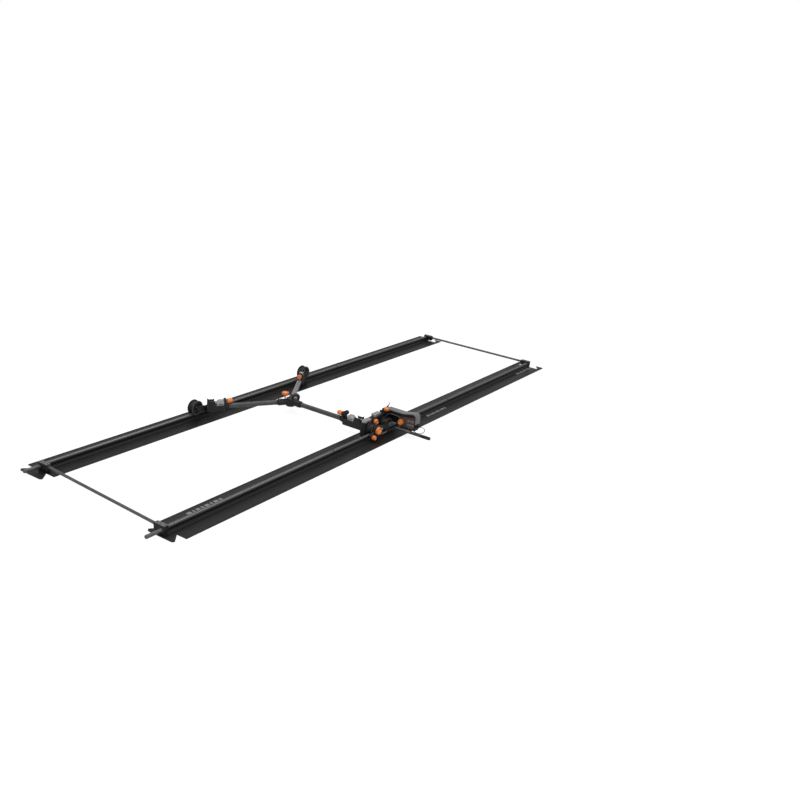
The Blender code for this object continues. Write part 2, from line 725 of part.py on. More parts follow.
def build_drive():
    """The drive unit on the near rail: housing, yoke, two wheels and the clamp knobs."""
    build_housing()
    build_yoke()
    for letter, x in zip("cd", DRIVE_WHEEL_X):
        wheel(f"wheel_{letter}", (x, DRIVE_Y, SMALL_WHEEL_Z), SMALL_GROOVE_CENTRE, None)
    face = YOKE_Y[0] - GAP
    knob("axle_knob", 0.0225, 0.018, 0.006, (DRIVE_WHEEL_X[0], face, SMALL_WHEEL_Z), AGAINST_Y)
    knob("brake_knob", 0.0140, 0.018, 0.006, (YOKE_FOOT[0], face, YOKE_FOOT[1]), AGAINST_Y)
    knob("clutch_knob", 0.0155, 0.018, 0.006, (CLUTCH_AT[0], HOUSING_Y[0] - GAP, CLUTCH_AT[1]), AGAINST_Y)
    knob("box_clamp_knob", 0.0165, 0.015, 0.003, (*CLAMP_AT, BOX_Z[1] + GAP), UPRIGHT)


def box_top(offset):
    """The box's top from the bridge to its near end, raised over the electronics, and offset outwards."""
    end, top = BOX_Y[0] - offset, BOX_Z[1] + offset
    high = top + BOX_RISE
    bend = BOX_BEND + offset
    return [(RISE_Y[1], top), (RISE_Y[0], high), *arc((end + bend, high - bend), bend, 90, 180, 6)]


def build_control_box():
    """The bridge over the rail and the control box at its near end, with the hood, panel and keys."""
    width = BOX_X[1] - BOX_X[0]
    low = BOX_Z[0]
    outline = [
        (BOX_Y[0], low),
        (ARCH_Y[0], low),
        *arc((ARCH_Y[0] + ARCH_CORNERS[0], ARCH_TOP - ARCH_CORNERS[0]), ARCH_CORNERS[0], 180, 90, 4),
        *arc((ARCH_Y[1] - ARCH_CORNERS[1], ARCH_TOP - ARCH_CORNERS[1]), ARCH_CORNERS[1], 90, 0, 6),
        (ARCH_Y[1], low),
        (BOX_Y[1], low),
        *arc((BOX_Y[1] - 0.010, BOX_Z[1] - 0.010), 0.010, 0, 90, 4),
        *box_top(0.0),
    ]
    mesh = plate_mesh("control_box", outline, width, plane="YZ")
    mesh.transform(Matrix.Translation((sum(BOX_X) / 2, 0, 0)))
    box = add_object("control_box", mesh, CAST_BLACK)
    wall = (BOX_X[1] - ARCH_WALL, ARCH_Y[0] - BITE, low), (BOX_X[1], ARCH_Y[1] + BITE, ARCH_TOP + BITE)
    inset = BOX_X[0] + 0.003
    lug = (BOX_X[0] - 0.020, LEVER_Y - 0.014, low), (inset, LEVER_Y + 0.014, low + 0.004)
    near, far = CLAMP_AT[1] - 0.011, CLAMP_AT[1] + 0.011
    clamp = (CLAMP_AT[0] - 0.010, near, BOX_Z[1] - 0.008), (inset, far, BOX_Z[1])
    join(box, box_mesh("arch_wall", *wall), box_mesh("lug", *lug), box_mesh("clamp", *clamp))
    inner, outer = box_top(GAP), box_top(GAP + HOOD_THICKNESS)
    outline = [(HOOD_Y, inner[0][1]), *inner, (inner[-1][0], HOOD_LIP), (outer[-1][0], HOOD_LIP)]
    outline += [*reversed(outer), (HOOD_Y, outer[0][1])]
    mesh = plate_mesh("hood", outline, width + 2 * HOOD_OVERHANG, plane="YZ")
    mesh.transform(Matrix.Translation((sum(BOX_X) / 2, 0, 0)))
    add_object("hood", mesh, HOOD_GREY)
    build_panel()
    face = BOX_Y[0] - GAP
    body, neck, length = CONNECTOR_RADIUS, CONNECTOR_NECK, CONNECTOR_LENGTH
    profile = [(0, length), (neck, length), (neck, 0.75 * length), (body, 0.6 * length), (body, 0), (0, 0)]
    turned("lead_connector", profile, CAST_BLACK, None, (LEAD_X, face, LEAD_Z), AGAINST_Y, steps=16)
    build_lead(face - length)


def key_places():
    """Key centres, two rows of three."""
    for row in (0, 1):
        for column in (-1, 0, 1):
            yield KEY_CENTRE[0] + column * BUTTON_PITCH[0], KEY_CENTRE[1] + (row - 0.5) * BUTTON_PITCH[1]


def build_panel():
    face = BOX_X[0] - GAP
    radius = 0.004
    low, high = PANEL_Z[0] + radius, PANEL_Z[1] - radius
    near, far = PANEL_Y[0] + radius, PANEL_Y[1] - radius
    outline = [
        *arc((far, high - PANEL_SLOPE), radius, 0, 100, 3),
        *arc((near, high), radius, 100, 180, 3),
        *arc((near, low), radius, 180, 270, 3),
        *arc((far, low), radius, 270, 360, 3),
    ]
    y_half, z_half = BUTTON_SIZE[1] / 2, BUTTON_SIZE[2] / 2
    holes = [
        [(y - y_half - KEY_GAP, z - z_half - KEY_GAP), (y + y_half + KEY_GAP, z - z_half - KEY_GAP)]
        + [(y + y_half + KEY_GAP, z + z_half + KEY_GAP), (y - y_half - KEY_GAP, z + z_half + KEY_GAP)]
        for y, z in key_places()
    ]
    mesh = plate_mesh("control_panel", outline, PANEL_THICKNESS, holes, plane="YZ")
    mesh.transform(Matrix.Translation((face - PANEL_THICKNESS / 2, 0, 0)))
    add_object("control_panel", mesh, PANEL_BROWN)
    for number, (y, z) in enumerate(key_places(), 1):
        depth = BUTTON_SIZE[0] / 2
        key = box_mesh(f"key_{number}", (-depth, -y_half, -z_half), (depth, y_half, z_half))
        centre = (face - KEY_TRAVEL - GAP - depth, y, z)
        add_bevel(add_object(f"key_{number}", key, KEY_GREY, None, centre), 0.0012)
    knob("speed_dial", 0.0170, 0.020, 0.003, (face - PANEL_THICKNESS - GAP, DIAL_Y, DIAL_Z), AGAINST_X)


def smooth_route(points, count):
    """Evenly numbered points on a Catmull-Rom curve through a route."""
    route = [Vector(p) for p in points]
    route = [2 * route[0] - route[1], *route, 2 * route[-1] - route[-2]]
    spans = len(route) - 3
    for i in range(count):
        place = spans * i / (count - 1)
        k = min(int(place), spans - 1)
        t = place - k
        a, b, c, d = route[k : k + 4]
        yield (2 * b + (c - a) * t + (2 * a - 5 * b + 4 * c - d) * t**2 + (3 * b - a - 3 * c + d) * t**3) / 2


def build_lead(start_y):
    """A short lead from the end connector back up into the underside of the box."""
    route = [
        (LEAD_X, start_y - 2 * GAP, LEAD_Z),
        (LEAD_X, start_y - 0.010, LEAD_Z),
        (LEAD_X, start_y - 0.022, LEAD_Z - 0.001),
        (LEAD_X, start_y - 0.030, LEAD_Z - 0.009),
        (LEAD_X, start_y - 0.028, LEAD_Z - 0.021),
        (LEAD_X, start_y - 0.018, LEAD_Z - 0.032),
        (LEAD_X, start_y - 0.002, LEAD_Z - 0.040),
        (LEAD_X, start_y + 0.018, LEAD_Z - 0.043),
        (LEAD_X, start_y + 0.034, LEAD_Z - 0.040),
        (LEAD_X, start_y + 0.041, BOX_Z[0] - 0.0012),
    ]
    curve = bpy.data.curves.new("control_lead", "CURVE")
    curve.dimensions = "3D"
    curve.bevel_depth = LEAD_RADIUS
    curve.bevel_resolution = 2
    curve.use_fill_caps = True
    spline = curve.splines.new("POLY")
    points = list(smooth_route(route, 22))
    spline.points.add(len(points) - 1)
    for knot, point in zip(spline.points, points):
        knot.co = (*point, 1.0)
    lead = bpy.data.objects.new("control_lead", curve)
    curve.materials.append(LEAD_GREY)
    PARTS.objects.link(lead)


def build_antenna():
    profile = [
        (0, 0.034),
        (0.0022, 0.033),
        (0.0022, 0.013),
        (0.0034, 0.012),
        (0.0034, 0.004),
        (0.0048, 0.0025),
        (0.0048, -0.0025),
        (0, -0.0025),
    ]
    turned("antenna", profile, CAST_BLACK, None, ANTENNA_AT, (ANTENNA_LEAN, 0.0, 0.0), steps=12)


def build_lever():
    """The engage lever under the box's front lug. Its origin is its pivot."""
    depth, radius = LEVER_DEPTH, LEVER_HALF_WIDTH
    bar = plate_mesh("engage_lever", stadium_outline((0, 0), (0, -LEVER_LENGTH), radius), depth)
    bar.transform(Matrix.Translation((0, 0, -depth / 2)))
    place = (BOX_X[0] - 0.0105, LEVER_Y, BOX_Z[0] - 0.003)
    lever = add_object("engage_lever", bar, CAST_BLACK, None, place)
    join(lever, cylinder_mesh("pivot", 0.005, (0, 0, -0.002), (0, 0, 0.003 - GAP), 16), parent=lever)


def settle_in_frame():
    """Carry everything across, so that the origin is the middle of the near rail's underside."""
    root = make_empty("frame", (0, RAIL_Y, 0))
    for thing in (*PARTS.objects, *HELPERS.objects):
        if thing.parent is None and thing is not root:
            thing.parent = root


def build_ball_handle(arm):
    """The ball that pulls arm C's foot cup back, on a stem whose foot meets the cup."""
    ball = ball_mesh("ball_handle_c", BALL_RADIUS, (BALL_AT, 0, BALL_Z))
    handle = add_object("ball_handle_c", ball, CAST_BLACK, arm)
    top = BLOCK_TOP + BALL_FOOT_HEIGHT
    stem = cylinder_mesh("stem", 0.0035, (BALL_AT, 0, top - 0.002), (BALL_AT, 0, BALL_Z - 0.007), 12)
    far = CUP_START + CRADLE_C_SHIFT - GAP
    foot = box_mesh("foot", (BALL_AT - 0.006, -0.007, BLOCK_TOP + GAP), (far, 0.007, top))
    join(handle, stem, foot, parent=arm)


def build_dolly():
    dolly = make_empty("dolly", HUB)
    headings = [heading_of(WHEEL_A - HUB), heading_of(WHEEL_B - HUB), -math.pi / 2]
    build_hub(dolly, headings)
    arms = (("a", 0.0, BLOCK_END), ("b", 0.0, BLOCK_END), ("c", CRADLE_C_SHIFT, BLOCK_END_C))
    blocks = {}
    for (label, shift, end), heading in zip(arms, headings):
        blocks[label], arm = build_arm(label, dolly, heading, shift, end)
        if label == "c":
            build_ball_handle(arm)
    wheel_bracket(blocks["a"], dolly, WHEEL_A, BRACKET_REACH)
    wheel_bracket(blocks["b"], dolly, WHEEL_B, -BRACKET_REACH)
    for letter, place in (("a", WHEEL_A), ("b", WHEEL_B)):
        wheel(f"wheel_{letter}", (*place.xy, BIG_WHEEL_Z), BIG_GROOVE_CENTRE, None)
    foot = HUB + outward(headings[0]) * HUB_KNOB_OUT
    knob("hub_knob", 0.021, 0.014, 0.026, (foot.x, foot.y, ARM_Z + DRUM_TOP_GAP), UPRIGHT)


def main():
    build_track()
    build_dolly()
    build_drive()
    build_control_box()
    build_antenna()
    build_lever()
    settle_in_frame()


main()
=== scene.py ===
"""Looks for the tripod dolly and its track: materials, knobs, wheels, fasteners and trim."""
import json
import math

import bmesh
import bpy
from mathutils import Matrix, Vector


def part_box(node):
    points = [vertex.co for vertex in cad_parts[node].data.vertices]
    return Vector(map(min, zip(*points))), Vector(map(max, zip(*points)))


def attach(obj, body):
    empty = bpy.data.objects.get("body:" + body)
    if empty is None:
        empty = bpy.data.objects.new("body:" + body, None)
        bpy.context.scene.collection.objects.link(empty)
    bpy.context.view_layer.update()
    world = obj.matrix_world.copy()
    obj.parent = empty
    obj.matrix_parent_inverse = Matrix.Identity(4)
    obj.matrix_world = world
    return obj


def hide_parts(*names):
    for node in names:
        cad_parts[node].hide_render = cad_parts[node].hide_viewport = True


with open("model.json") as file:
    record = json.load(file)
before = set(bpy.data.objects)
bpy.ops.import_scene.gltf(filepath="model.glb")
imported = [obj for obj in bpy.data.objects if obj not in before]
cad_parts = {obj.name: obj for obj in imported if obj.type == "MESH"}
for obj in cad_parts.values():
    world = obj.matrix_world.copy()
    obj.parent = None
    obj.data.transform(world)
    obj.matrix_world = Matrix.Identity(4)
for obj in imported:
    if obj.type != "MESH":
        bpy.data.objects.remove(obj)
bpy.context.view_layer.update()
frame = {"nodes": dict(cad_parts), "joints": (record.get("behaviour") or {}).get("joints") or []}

NODES = frame["nodes"]
JOINTS = {joint["name"]: joint for joint in frame["joints"]}
X, Y, Z = Vector((1, 0, 0)), Vector((0, 1, 0)), Vector((0, 0, 1))
RAIL_LABELS = ("near", "far")
HEAD_RADIUS = 0.0125
BASE_THICKNESS = 0.0055
SECTION_LENGTH = 1.2
TRACK_LEFT = -1.8
HEAD_SHIFT = 0.050
ROD_RADIUS = 0.0075
PLANES = {
    "XY": lambda u, v, w: (u, v, w),
    "YZ": lambda u, v, w: (w, u, v),
    "XZ": lambda u, v, w: (u, w, v),
}


# ---- Camera, floor and light ----


def make_camera():
    """The photograph's viewpoint: from the left and in front, a little above, and slightly rolled."""
    azimuth, elevation, roll = (math.radians(a) for a in (-57.9965, 19.4813, 5.3049))
    flat = math.cos(elevation)
    look = Vector((-math.sin(azimuth) * flat, math.cos(azimuth) * flat, -math.sin(elevation)))
    right = look.cross(Z).normalized()
    up = right.cross(look)
    turned_right = math.cos(roll) * right + math.sin(roll) * up
    turned_up = math.cos(roll) * up - math.sin(roll) * right
    camera = bpy.data.objects.new("camera", bpy.data.cameras.new("camera"))
    camera.data.sensor_width = 36
    camera.data.lens = 40.38
    camera.data.clip_end = 100
    matrix = Matrix((turned_right, turned_up, -look)).transposed().to_4x4()
    matrix.translation = Vector((-4.2448, -2.644, 1.9357))
    camera.matrix_world = matrix
    bpy.context.scene.collection.objects.link(camera)
    bpy.context.scene.camera = camera


def make_world():
    """White to the camera and, for light, bright above and dim towards the horizon, as in a studio."""
    world = bpy.data.worlds.new("studio")
    bpy.context.scene.world = world
    world.use_nodes = True
    nodes, links = world.node_tree.nodes, world.node_tree.links
    nodes.clear()
    out = nodes.new("ShaderNodeOutputWorld")
    seen = nodes.new("ShaderNodeBackground")
    seen.inputs["Color"].default_value = (1, 1, 1, 1)
    seen.inputs["Strength"].default_value = 1.0
    glow = nodes.new("ShaderNodeBackground")
    ramp = nodes.new("ShaderNodeValToRGB")
    split = nodes.new("ShaderNodeSeparateXYZ")
    where = nodes.new("ShaderNodeTexCoord")
    path = nodes.new("ShaderNodeLightPath")
    mix = nodes.new("ShaderNodeMixShader")
    stops = ((0.0, 0.56), (0.25, 0.58), (0.42, 0.52), (0.52, 0.26), (1.0, 1.30))
    elements = ramp.color_ramp.elements
    while len(elements) < len(stops):
        elements.new(0.5)
    for element, (place, level) in zip(elements, stops):
        element.position = place
        element.color = (level, level, level * 1.01, 1)
    links.new(where.outputs["Generated"], split.inputs[0])
    links.new(split.outputs["Z"], ramp.inputs[0])
    links.new(ramp.outputs["Color"], glow.inputs["Color"])
    links.new(path.outputs["Is Camera Ray"], mix.inputs[0])
    links.new(glow.outputs[0], mix.inputs[1])
    links.new(seen.outputs[0], mix.inputs[2])
    links.new(mix.outputs[0], out.inputs[0])


def make_area(name, place, aim, size, power, tint=(1, 1, 1)):
    light = bpy.data.objects.new(name, bpy.data.lights.new(name, "AREA"))
    light.data.shape = "RECTANGLE"
    light.data.size, light.data.size_y = size
    light.data.energy = power
    light.data.color = tint
    light.location = place
    light.rotation_euler = (Vector(aim) - Vector(place)).to_track_quat("-Z", "Y").to_euler()
    bpy.context.scene.collection.objects.link(light)


def make_stage():
    mesh = bpy.data.meshes.new("floor")
    side = 40
    corners = [(-side, -side, 0), (side, -side, 0), (side, side, 0), (-side, side, 0)]
    mesh.from_pydata([Vector(c) - Z * 0.0004 for c in corners], [], [(0, 1, 2, 3)])
    floor = bpy.data.objects.new("floor", mesh)
    bpy.context.scene.collection.objects.link(floor)
    material = bpy.data.materials.new("floor")
    material.use_nodes = True
    shader = material.node_tree.nodes["Principled BSDF"]
    shader.inputs["Base Color"].default_value = (0.22, 0.22, 0.22, 1)
    shader.inputs["Roughness"].default_value = 0.9
    shader.inputs["Specular IOR Level"].default_value = 0.0
    shader.inputs["Emission Color"].default_value = (1, 1, 1, 1)
    path = material.node_tree.nodes.new("ShaderNodeLightPath")
    glow = material.node_tree.nodes.new("ShaderNodeMapRange")
    glow.inputs["To Min"].default_value = 0.36
    glow.inputs["To Max"].default_value = 0.86
    material.node_tree.links.new(path.outputs["Is Camera Ray"], glow.inputs["Value"])
    material.node_tree.links.new(glow.outputs["Result"], shader.inputs["Emission Strength"])
    mesh.materials.append(material)
    make_area("softbox_over", (-0.3, 0.9, 4.2), (0, 0.45, 0), (5.0, 4.0), 55)
    make_area("softbox_front", (-3.6, -3.4, 2.6), (-0.2, 0, 0), (2.4, 1.6), 48, (0.97, 0.98, 1.0))


# ---- Materials ----


class Surface:
    """A Principled material built up from procedural layers."""

    def __init__(self, name, colour, roughness, metallic=0.0, specular=0.5):
        self.material = bpy.data.materials.new(name)
        self.material.use_nodes = True
        self.tree = self.material.node_tree
        self.shader = self.tree.nodes["Principled BSDF"]
        self.shader.inputs["Metallic"].default_value = metallic
        self.shader.inputs["Specular IOR Level"].default_value = specular
        self.colour = colour
        self.roughness = roughness
        self.where = self.add("ShaderNodeTexCoord").outputs["Object"]
        self.height = None
        self.base = None

    def add(self, kind, **settings):
        node = self.tree.nodes.new(kind)
        for key, value in settings.items():
            setattr(node, key, value)
        return node

    def link(self, source, target):
        self.tree.links.new(source, target)

    def noise(self, scale, detail=3.0, stretch=(1, 1, 1)):
        mapping = self.add("ShaderNodeMapping")
        mapping.inputs["Scale"].default_value = stretch
        self.link(self.where, mapping.inputs[0])
        noise = self.add("ShaderNodeTexNoise")
        noise.inputs["Scale"].default_value = scale
        noise.inputs["Detail"].default_value = detail
        self.link(mapping.outputs[0], noise.inputs["Vector"])
        return noise.outputs["Fac"]

    def ramp(self, source, low, high, first, second):
        """Maps source from low..high to two colours or levels."""
        ramp = self.add("ShaderNodeValToRGB")
        for element, place, value in zip(ramp.color_ramp.elements, (low, high), (first, second)):
            element.position = place
            element.color = (*value, 1) if isinstance(value, tuple) else (value, value, value, 1)
        self.link(source, ramp.inputs[0])
        return ramp.outputs["Color"]

    def mottle(self, scale, spread, stretch=(1, 1, 1), warm=0.0):
        """The colour drifts lighter and darker by spread, over patches set by scale."""
        dark = tuple(c * (1 - spread) for c in self.colour)
        light = (
            self.colour[0] * (1 + spread + warm),
            self.colour[1] * (1 + spread),
            self.colour[2] * (1 + spread - warm),
        )
        self.base = self.ramp(self.noise(scale, 4.0, stretch), 0.35, 0.65, dark, light)
        return self

    def uneven(self, scale, spread, stretch=(1, 1, 1)):
        """The roughness varies by spread either way."""
        low, high = max(0.02, self.roughness - spread), min(1.0, self.roughness + spread)
        level = self.ramp(self.noise(scale, 5.0, stretch), 0.3, 0.7, low, high)
        self.link(level, self.shader.inputs["Roughness"])
        return self

    def grain(self, scale, distance, stretch=(1, 1, 1), detail=2.0, strength=0.5):
        """Fine relief, this deep in metres."""
        bump = self.add("ShaderNodeBump")
        bump.inputs["Distance"].default_value = distance
        bump.inputs["Strength"].default_value = strength
        self.link(self.noise(scale, detail, stretch), bump.inputs["Height"])
        if self.height:
            self.link(self.height, bump.inputs["Normal"])
        self.height = bump.outputs["Normal"]
        return self

    def specks(self, scale, colour, share):
        """Small scattered specks of another colour, such as dust or chips."""
        spots = self.add("ShaderNodeTexVoronoi")
        spots.inputs["Scale"].default_value = scale
        self.link(self.where, spots.inputs["Vector"])
        mask = self.ramp(spots.outputs["Distance"], share, share * 1.3, 1.0, 0.0)
        return self.over(mask, colour)

    def worn(self, width, colour, amount=0.6):
        """Edges rubbed towards another colour."""
        bevel = self.add("ShaderNodeBevel", samples=3)
        bevel.inputs["Radius"].default_value = width
        geometry = self.add("ShaderNodeNewGeometry")
        product = self.add("ShaderNodeVectorMath", operation="DOT_PRODUCT")
        self.link(bevel.outputs[0], product.inputs[0])
        self.link(geometry.outputs["Normal"], product.inputs[1])
        edge = self.ramp(product.outputs["Value"], 0.80, 0.97, amount, 0.0)
        patch = self.ramp(self.noise(60, 4.0), 0.42, 0.62, 0.15, 1.0)
        joined = self.add("ShaderNodeMath", operation="MULTIPLY")
        self.link(edge, joined.inputs[0])
        self.link(patch, joined.inputs[1])
        return self.over(joined.outputs[0], colour)

    def over(self, mask, colour):
        mix = self.add("ShaderNodeMix", data_type="RGBA")
        self.link(mask, mix.inputs["Factor"])
        if self.base:
            self.link(self.base, mix.inputs["A"])
        else:
            mix.inputs["A"].default_value = (*self.colour, 1)
        mix.inputs["B"].default_value = (*colour, 1)
        self.base = mix.outputs["Result"]
        return self

    def coat(self, weight, roughness):
        self.shader.inputs["Coat Weight"].default_value = weight
        self.shader.inputs["Coat Roughness"].default_value = roughness
        return self

    def done(self):
        if self.base:
            self.link(self.base, self.shader.inputs["Base Color"])
        else:
            self.shader.inputs["Base Color"].default_value = (*self.colour, 1)
        if not self.shader.inputs["Roughness"].is_linked:
            self.shader.inputs["Roughness"].default_value = self.roughness
        if self.height:
            self.link(self.height, self.shader.inputs["Normal"])
        return self.material


ALONG = (0.02, 1, 1)
RAIL = (
    Surface("rail_black_finish", (0.010, 0.010, 0.0098), 0.42, 0.0, 0.30)
    .mottle(9, 0.18, ALONG, warm=0.05).uneven(30, 0.09, ALONG)
    .grain(900, 0.00015, ALONG).grain(1500, 0.00008)
    .specks(260, (0.05, 0.05, 0.048), 0.010).worn(0.0012, (0.10, 0.10, 0.098), 0.5).done()
)
# Painted highlight: a lighter grey for the rail head's lit top.
CROWN_PAINTED_HIGHLIGHT = (
    Surface("crown_painted_highlight", (0.075, 0.075, 0.072), 0.38, 0.35)
    .mottle(40, 0.15, ALONG).uneven(60, 0.08, ALONG).grain(1200, 0.0001, ALONG).done()
)
ROD = (
    Surface("rod_grey_finish", (0.115, 0.115, 0.112), 0.34, 0.45)
    .mottle(60, 0.15).uneven(90, 0.08).grain(1800, 0.00008).worn(0.0006, (0.34, 0.34, 0.33), 0.6).done()
)
# Painted highlight: a lighter grey for the lit tops of the rail blocks and the light dot on the small drive
# wheel's axle.
CLAMP_PAINTED_HIGHLIGHT = (
    Surface("clamp_painted_highlight", (0.15, 0.15, 0.148), 0.42, 0.3)
    .mottle(70, 0.12).uneven(110, 0.08).grain(1800, 0.0001).worn(0.0007, (0.36, 0.36, 0.35), 0.6).done()
)
# Painted highlight: lighter grey lines along the rail head.
HEAD_LINE_PAINTED_HIGHLIGHT = (
    Surface("head_lines_painted_highlight", (0.30, 0.30, 0.29), 0.34, 0.5)
    .mottle(40, 0.25, ALONG).uneven(60, 0.1, ALONG).grain(1200, 0.0001, ALONG).done()
)
CAST = (
    Surface("cast_black_finish", (0.013, 0.013, 0.014), 0.46, 0.0, 0.32)
    .mottle(55, 0.2).uneven(90, 0.08).grain(1400, 0.0002, strength=0.35)
    .worn(0.0009, (0.15, 0.15, 0.15), 0.5).done()
)
MACHINED = (
    Surface("machined_black", (0.035, 0.035, 0.038), 0.30, 0.5)
    .mottle(70, 0.2).uneven(120, 0.08).grain(2200, 0.00008)
    .worn(0.0006, (0.30, 0.30, 0.30), 0.7).done()
)
TUBE = (
    Surface("tube_grey_finish", (0.070, 0.070, 0.072), 0.36, 0.35)
    .mottle(30, 0.14, (1, 1, 1)).uneven(80, 0.08).grain(1600, 0.00006).done()
)
# Painted highlight: arm B's tube in a lighter copy of the tube finish, for the light it catches.
TUBE_PAINTED_HIGHLIGHT = (
    Surface("tube_painted_highlight", (0.24, 0.24, 0.25), 0.34, 0.45)
    .mottle(30, 0.10).uneven(80, 0.08).grain(1600, 0.00006).done()
)
TYRE = (
    Surface("wheel_black_finish", (0.018, 0.018, 0.019), 0.55, 0.0, 0.35)
    .mottle(45, 0.22).uneven(60, 0.08).grain(1100, 0.00025, strength=0.4)
    .specks(420, (0.07, 0.07, 0.068), 0.02).done()
)
RIM = (
    Surface("rim_grey", (0.075, 0.075, 0.078), 0.34, 0.6)
    .mottle(80, 0.16).uneven(140, 0.08).grain(1800, 0.00008).worn(0.0006, (0.30, 0.30, 0.30), 0.6).done()
)
# Painted highlight: a lighter grey for the wheels' flange edges and the yoke's bearing ring.
BAND_PAINTED_HIGHLIGHT = (
    Surface("band_painted_highlight", (0.19, 0.19, 0.195), 0.34, 0.55)
    .mottle(90, 0.12).uneven(140, 0.08).grain(1800, 0.00006).done()
)
# Painted highlight: a lighter orange for the knobs' faces.
ORANGE_FACE_PAINTED_HIGHLIGHT = (
    Surface("orange_face_painted_highlight", (0.93, 0.42, 0.150), 0.36, 0.25)
    .mottle(140, 0.06).uneven(180, 0.07).grain(2600, 0.00005).coat(0.3, 0.2).done()
)
ORANGE = (
    Surface("orange_anodised_finish", (0.86, 0.235, 0.040), 0.30, 0.45)
    .mottle(120, 0.07).uneven(180, 0.07).grain(2600, 0.00006)
    .worn(0.0006, (0.95, 0.55, 0.28), 0.7).coat(0.25, 0.2).done()
)
SILVER = (
    Surface("silver_finish", (0.46, 0.455, 0.435), 0.38, 0.7)
    .mottle(70, 0.08, warm=0.01).uneven(110, 0.1).grain(1900, 0.0001)
    .worn(0.0008, (0.74, 0.73, 0.71), 0.5).done()
)
STEEL = (
    Surface("screw_steel", (0.42, 0.42, 0.43), 0.28, 0.9)
    .mottle(200, 0.12).uneven(240, 0.08).grain(2600, 0.00005).done()
)
DARK_STEEL = (
    Surface("screw_black", (0.050, 0.050, 0.053), 0.32, 0.6)
    .mottle(200, 0.2).uneven(240, 0.08).grain(2600, 0.00005)
    .worn(0.0004, (0.28, 0.28, 0.28), 0.7).done()
)
HOOD = (
    Surface("hood_grey_finish", (0.165, 0.165, 0.168), 0.42, 0.0, 0.45)
    .mottle(38, 0.08).uneven(70, 0.06).grain(1300, 0.00015, strength=0.3)
    .worn(0.0009, (0.34, 0.34, 0.34), 0.6).done()
)
END_GREY = (
    Surface("end_plate_grey", (0.20, 0.20, 0.205), 0.45, 0.2)
    .mottle(60, 0.1).uneven(90, 0.06).grain(1500, 0.0001).worn(0.0008, (0.4, 0.4, 0.4), 0.6).done()
)
PANEL = (
    Surface("panel_brown_finish", (0.072, 0.052, 0.050), 0.38, 0.0, 0.4)
    .mottle(90, 0.12, warm=0.04).uneven(140, 0.08).grain(1700, 0.0001, strength=0.3).done()
)
KEY = (
    Surface("key_grey_finish", (0.185, 0.155, 0.145), 0.55, 0.0, 0.35)
    .mottle(220, 0.1).uneven(240, 0.06).grain(3000, 0.0001).worn(0.0005, (0.33, 0.30, 0.28), 0.6).done()
)
MARK = (
    Surface("mark_grey", (0.23, 0.23, 0.225), 0.55, 0.0, 0.3)
    .mottle(300, 0.12).uneven(200, 0.06).grain(2400, 0.00005).done()
)
STRAP = (
    Surface("strap_white_finish", (0.46, 0.45, 0.43), 0.6, 0.0, 0.35)
    .mottle(120, 0.08, warm=0.02).uneven(160, 0.06).grain(2400, 0.0001, (1, 6, 1)).done()
)
RUBBER = (
    Surface("rubber_black", (0.020, 0.020, 0.020), 0.68, 0.0, 0.25)
    .mottle(150, 0.2).uneven(200, 0.06).grain(2400, 0.0002, strength=0.4).done()
)
LEAD = (
    Surface("lead_grey_finish", (0.30, 0.30, 0.305), 0.5, 0.0, 0.35)
    .mottle(200, 0.08).uneven(260, 0.06).grain(2600, 0.00008).done()
)
COPPER = (
    Surface("copper_guard", (0.42, 0.24, 0.20), 0.36, 0.45)
    .mottle(150, 0.14).uneven(200, 0.08).grain(2200, 0.00008).done()
)


# ---- Mesh helpers ----


def spin_to(axis, place=(0, 0, 0)):
    """A matrix that carries local +Z to axis, and the origin to place."""
    turn = Z.rotation_difference(Vector(axis).normalized())
    return Matrix.Translation(place) @ turn.to_matrix().to_4x4()


def add_rings(bm, levels, sides=32, matrix=None):
    """Lofts rings about local Z, each (radius, height) and, where not round, its shape by angle."""
    matrix = matrix or Matrix.Identity(4)
    loops = []
    for radius, height, *shape in levels:
        if radius == 0:
            loops.append([bm.verts.new(matrix @ Vector((0, 0, height)))])
            continue
        ring = []
        for i in range(sides):
            angle = 2 * math.pi * i / sides
            reach = radius * (shape[0](angle) if shape else 1.0)
            point = Vector((reach * math.cos(angle), reach * math.sin(angle), height))
            ring.append(bm.verts.new(matrix @ point))
        loops.append(ring)
    for first, second in zip(loops, loops[1:]):
        for i in range(sides):
            j = (i + 1) % sides
            below = (first[i % len(first)], first[j % len(first)])
            above = (second[j % len(second)], second[i % len(second)])
            corners = list(dict.fromkeys(below + above))
            if len(corners) > 2:
                bm.faces.new(corners)


def settle(bm, made, edges, soften, segments, matrix):
    """Softens the edges of what was made, then moves it by the matrix."""
    if soften:
        result = bmesh.ops.bevel(
            bm, geom=edges, offset=soften, segments=segments, affect="EDGES", profile=0.6
        )
        made = list({*result["verts"], *(v for v in made if v.is_valid)})
    if matrix:
        bmesh.ops.transform(bm, matrix=matrix, verts=made)


def add_block(bm, low, high, soften=0.0006, segments=2, matrix=None):
    """A box between two corners, with softened edges."""
    low, high = Vector(low), Vector(high)
    made = bmesh.ops.create_cube(bm, size=1.0)["verts"]
    bmesh.ops.scale(bm, vec=high - low, verts=made)
    bmesh.ops.translate(bm, vec=(low + high) / 2, verts=made)
    edges = list({edge for vert in made for edge in vert.link_edges})
    settle(bm, made, edges, soften, segments, matrix)


def add_prism(bm, outline, low, high, plane, soften=0.0006, matrix=None):
    """An outline raised from low to high along the axis that plane leaves out, with softened edges."""
    lift = PLANES[plane]
    bottom = [bm.verts.new(lift(u, v, low)) for u, v in outline]
    top = [bm.verts.new(lift(u, v, high)) for u, v in outline]
    count = len(outline)
    faces = [bm.faces.new(bottom), bm.faces.new(top)]
    for i in range(count):
        j = (i + 1) % count
        faces.append(bm.faces.new((bottom[i], bottom[j], top[j], top[i])))
    bmesh.ops.recalc_face_normals(bm, faces=faces)
    edges = list({edge for face in faces[:2] for edge in face.edges})
    settle(bm, [*bottom, *top], edges, soften, 2, matrix)


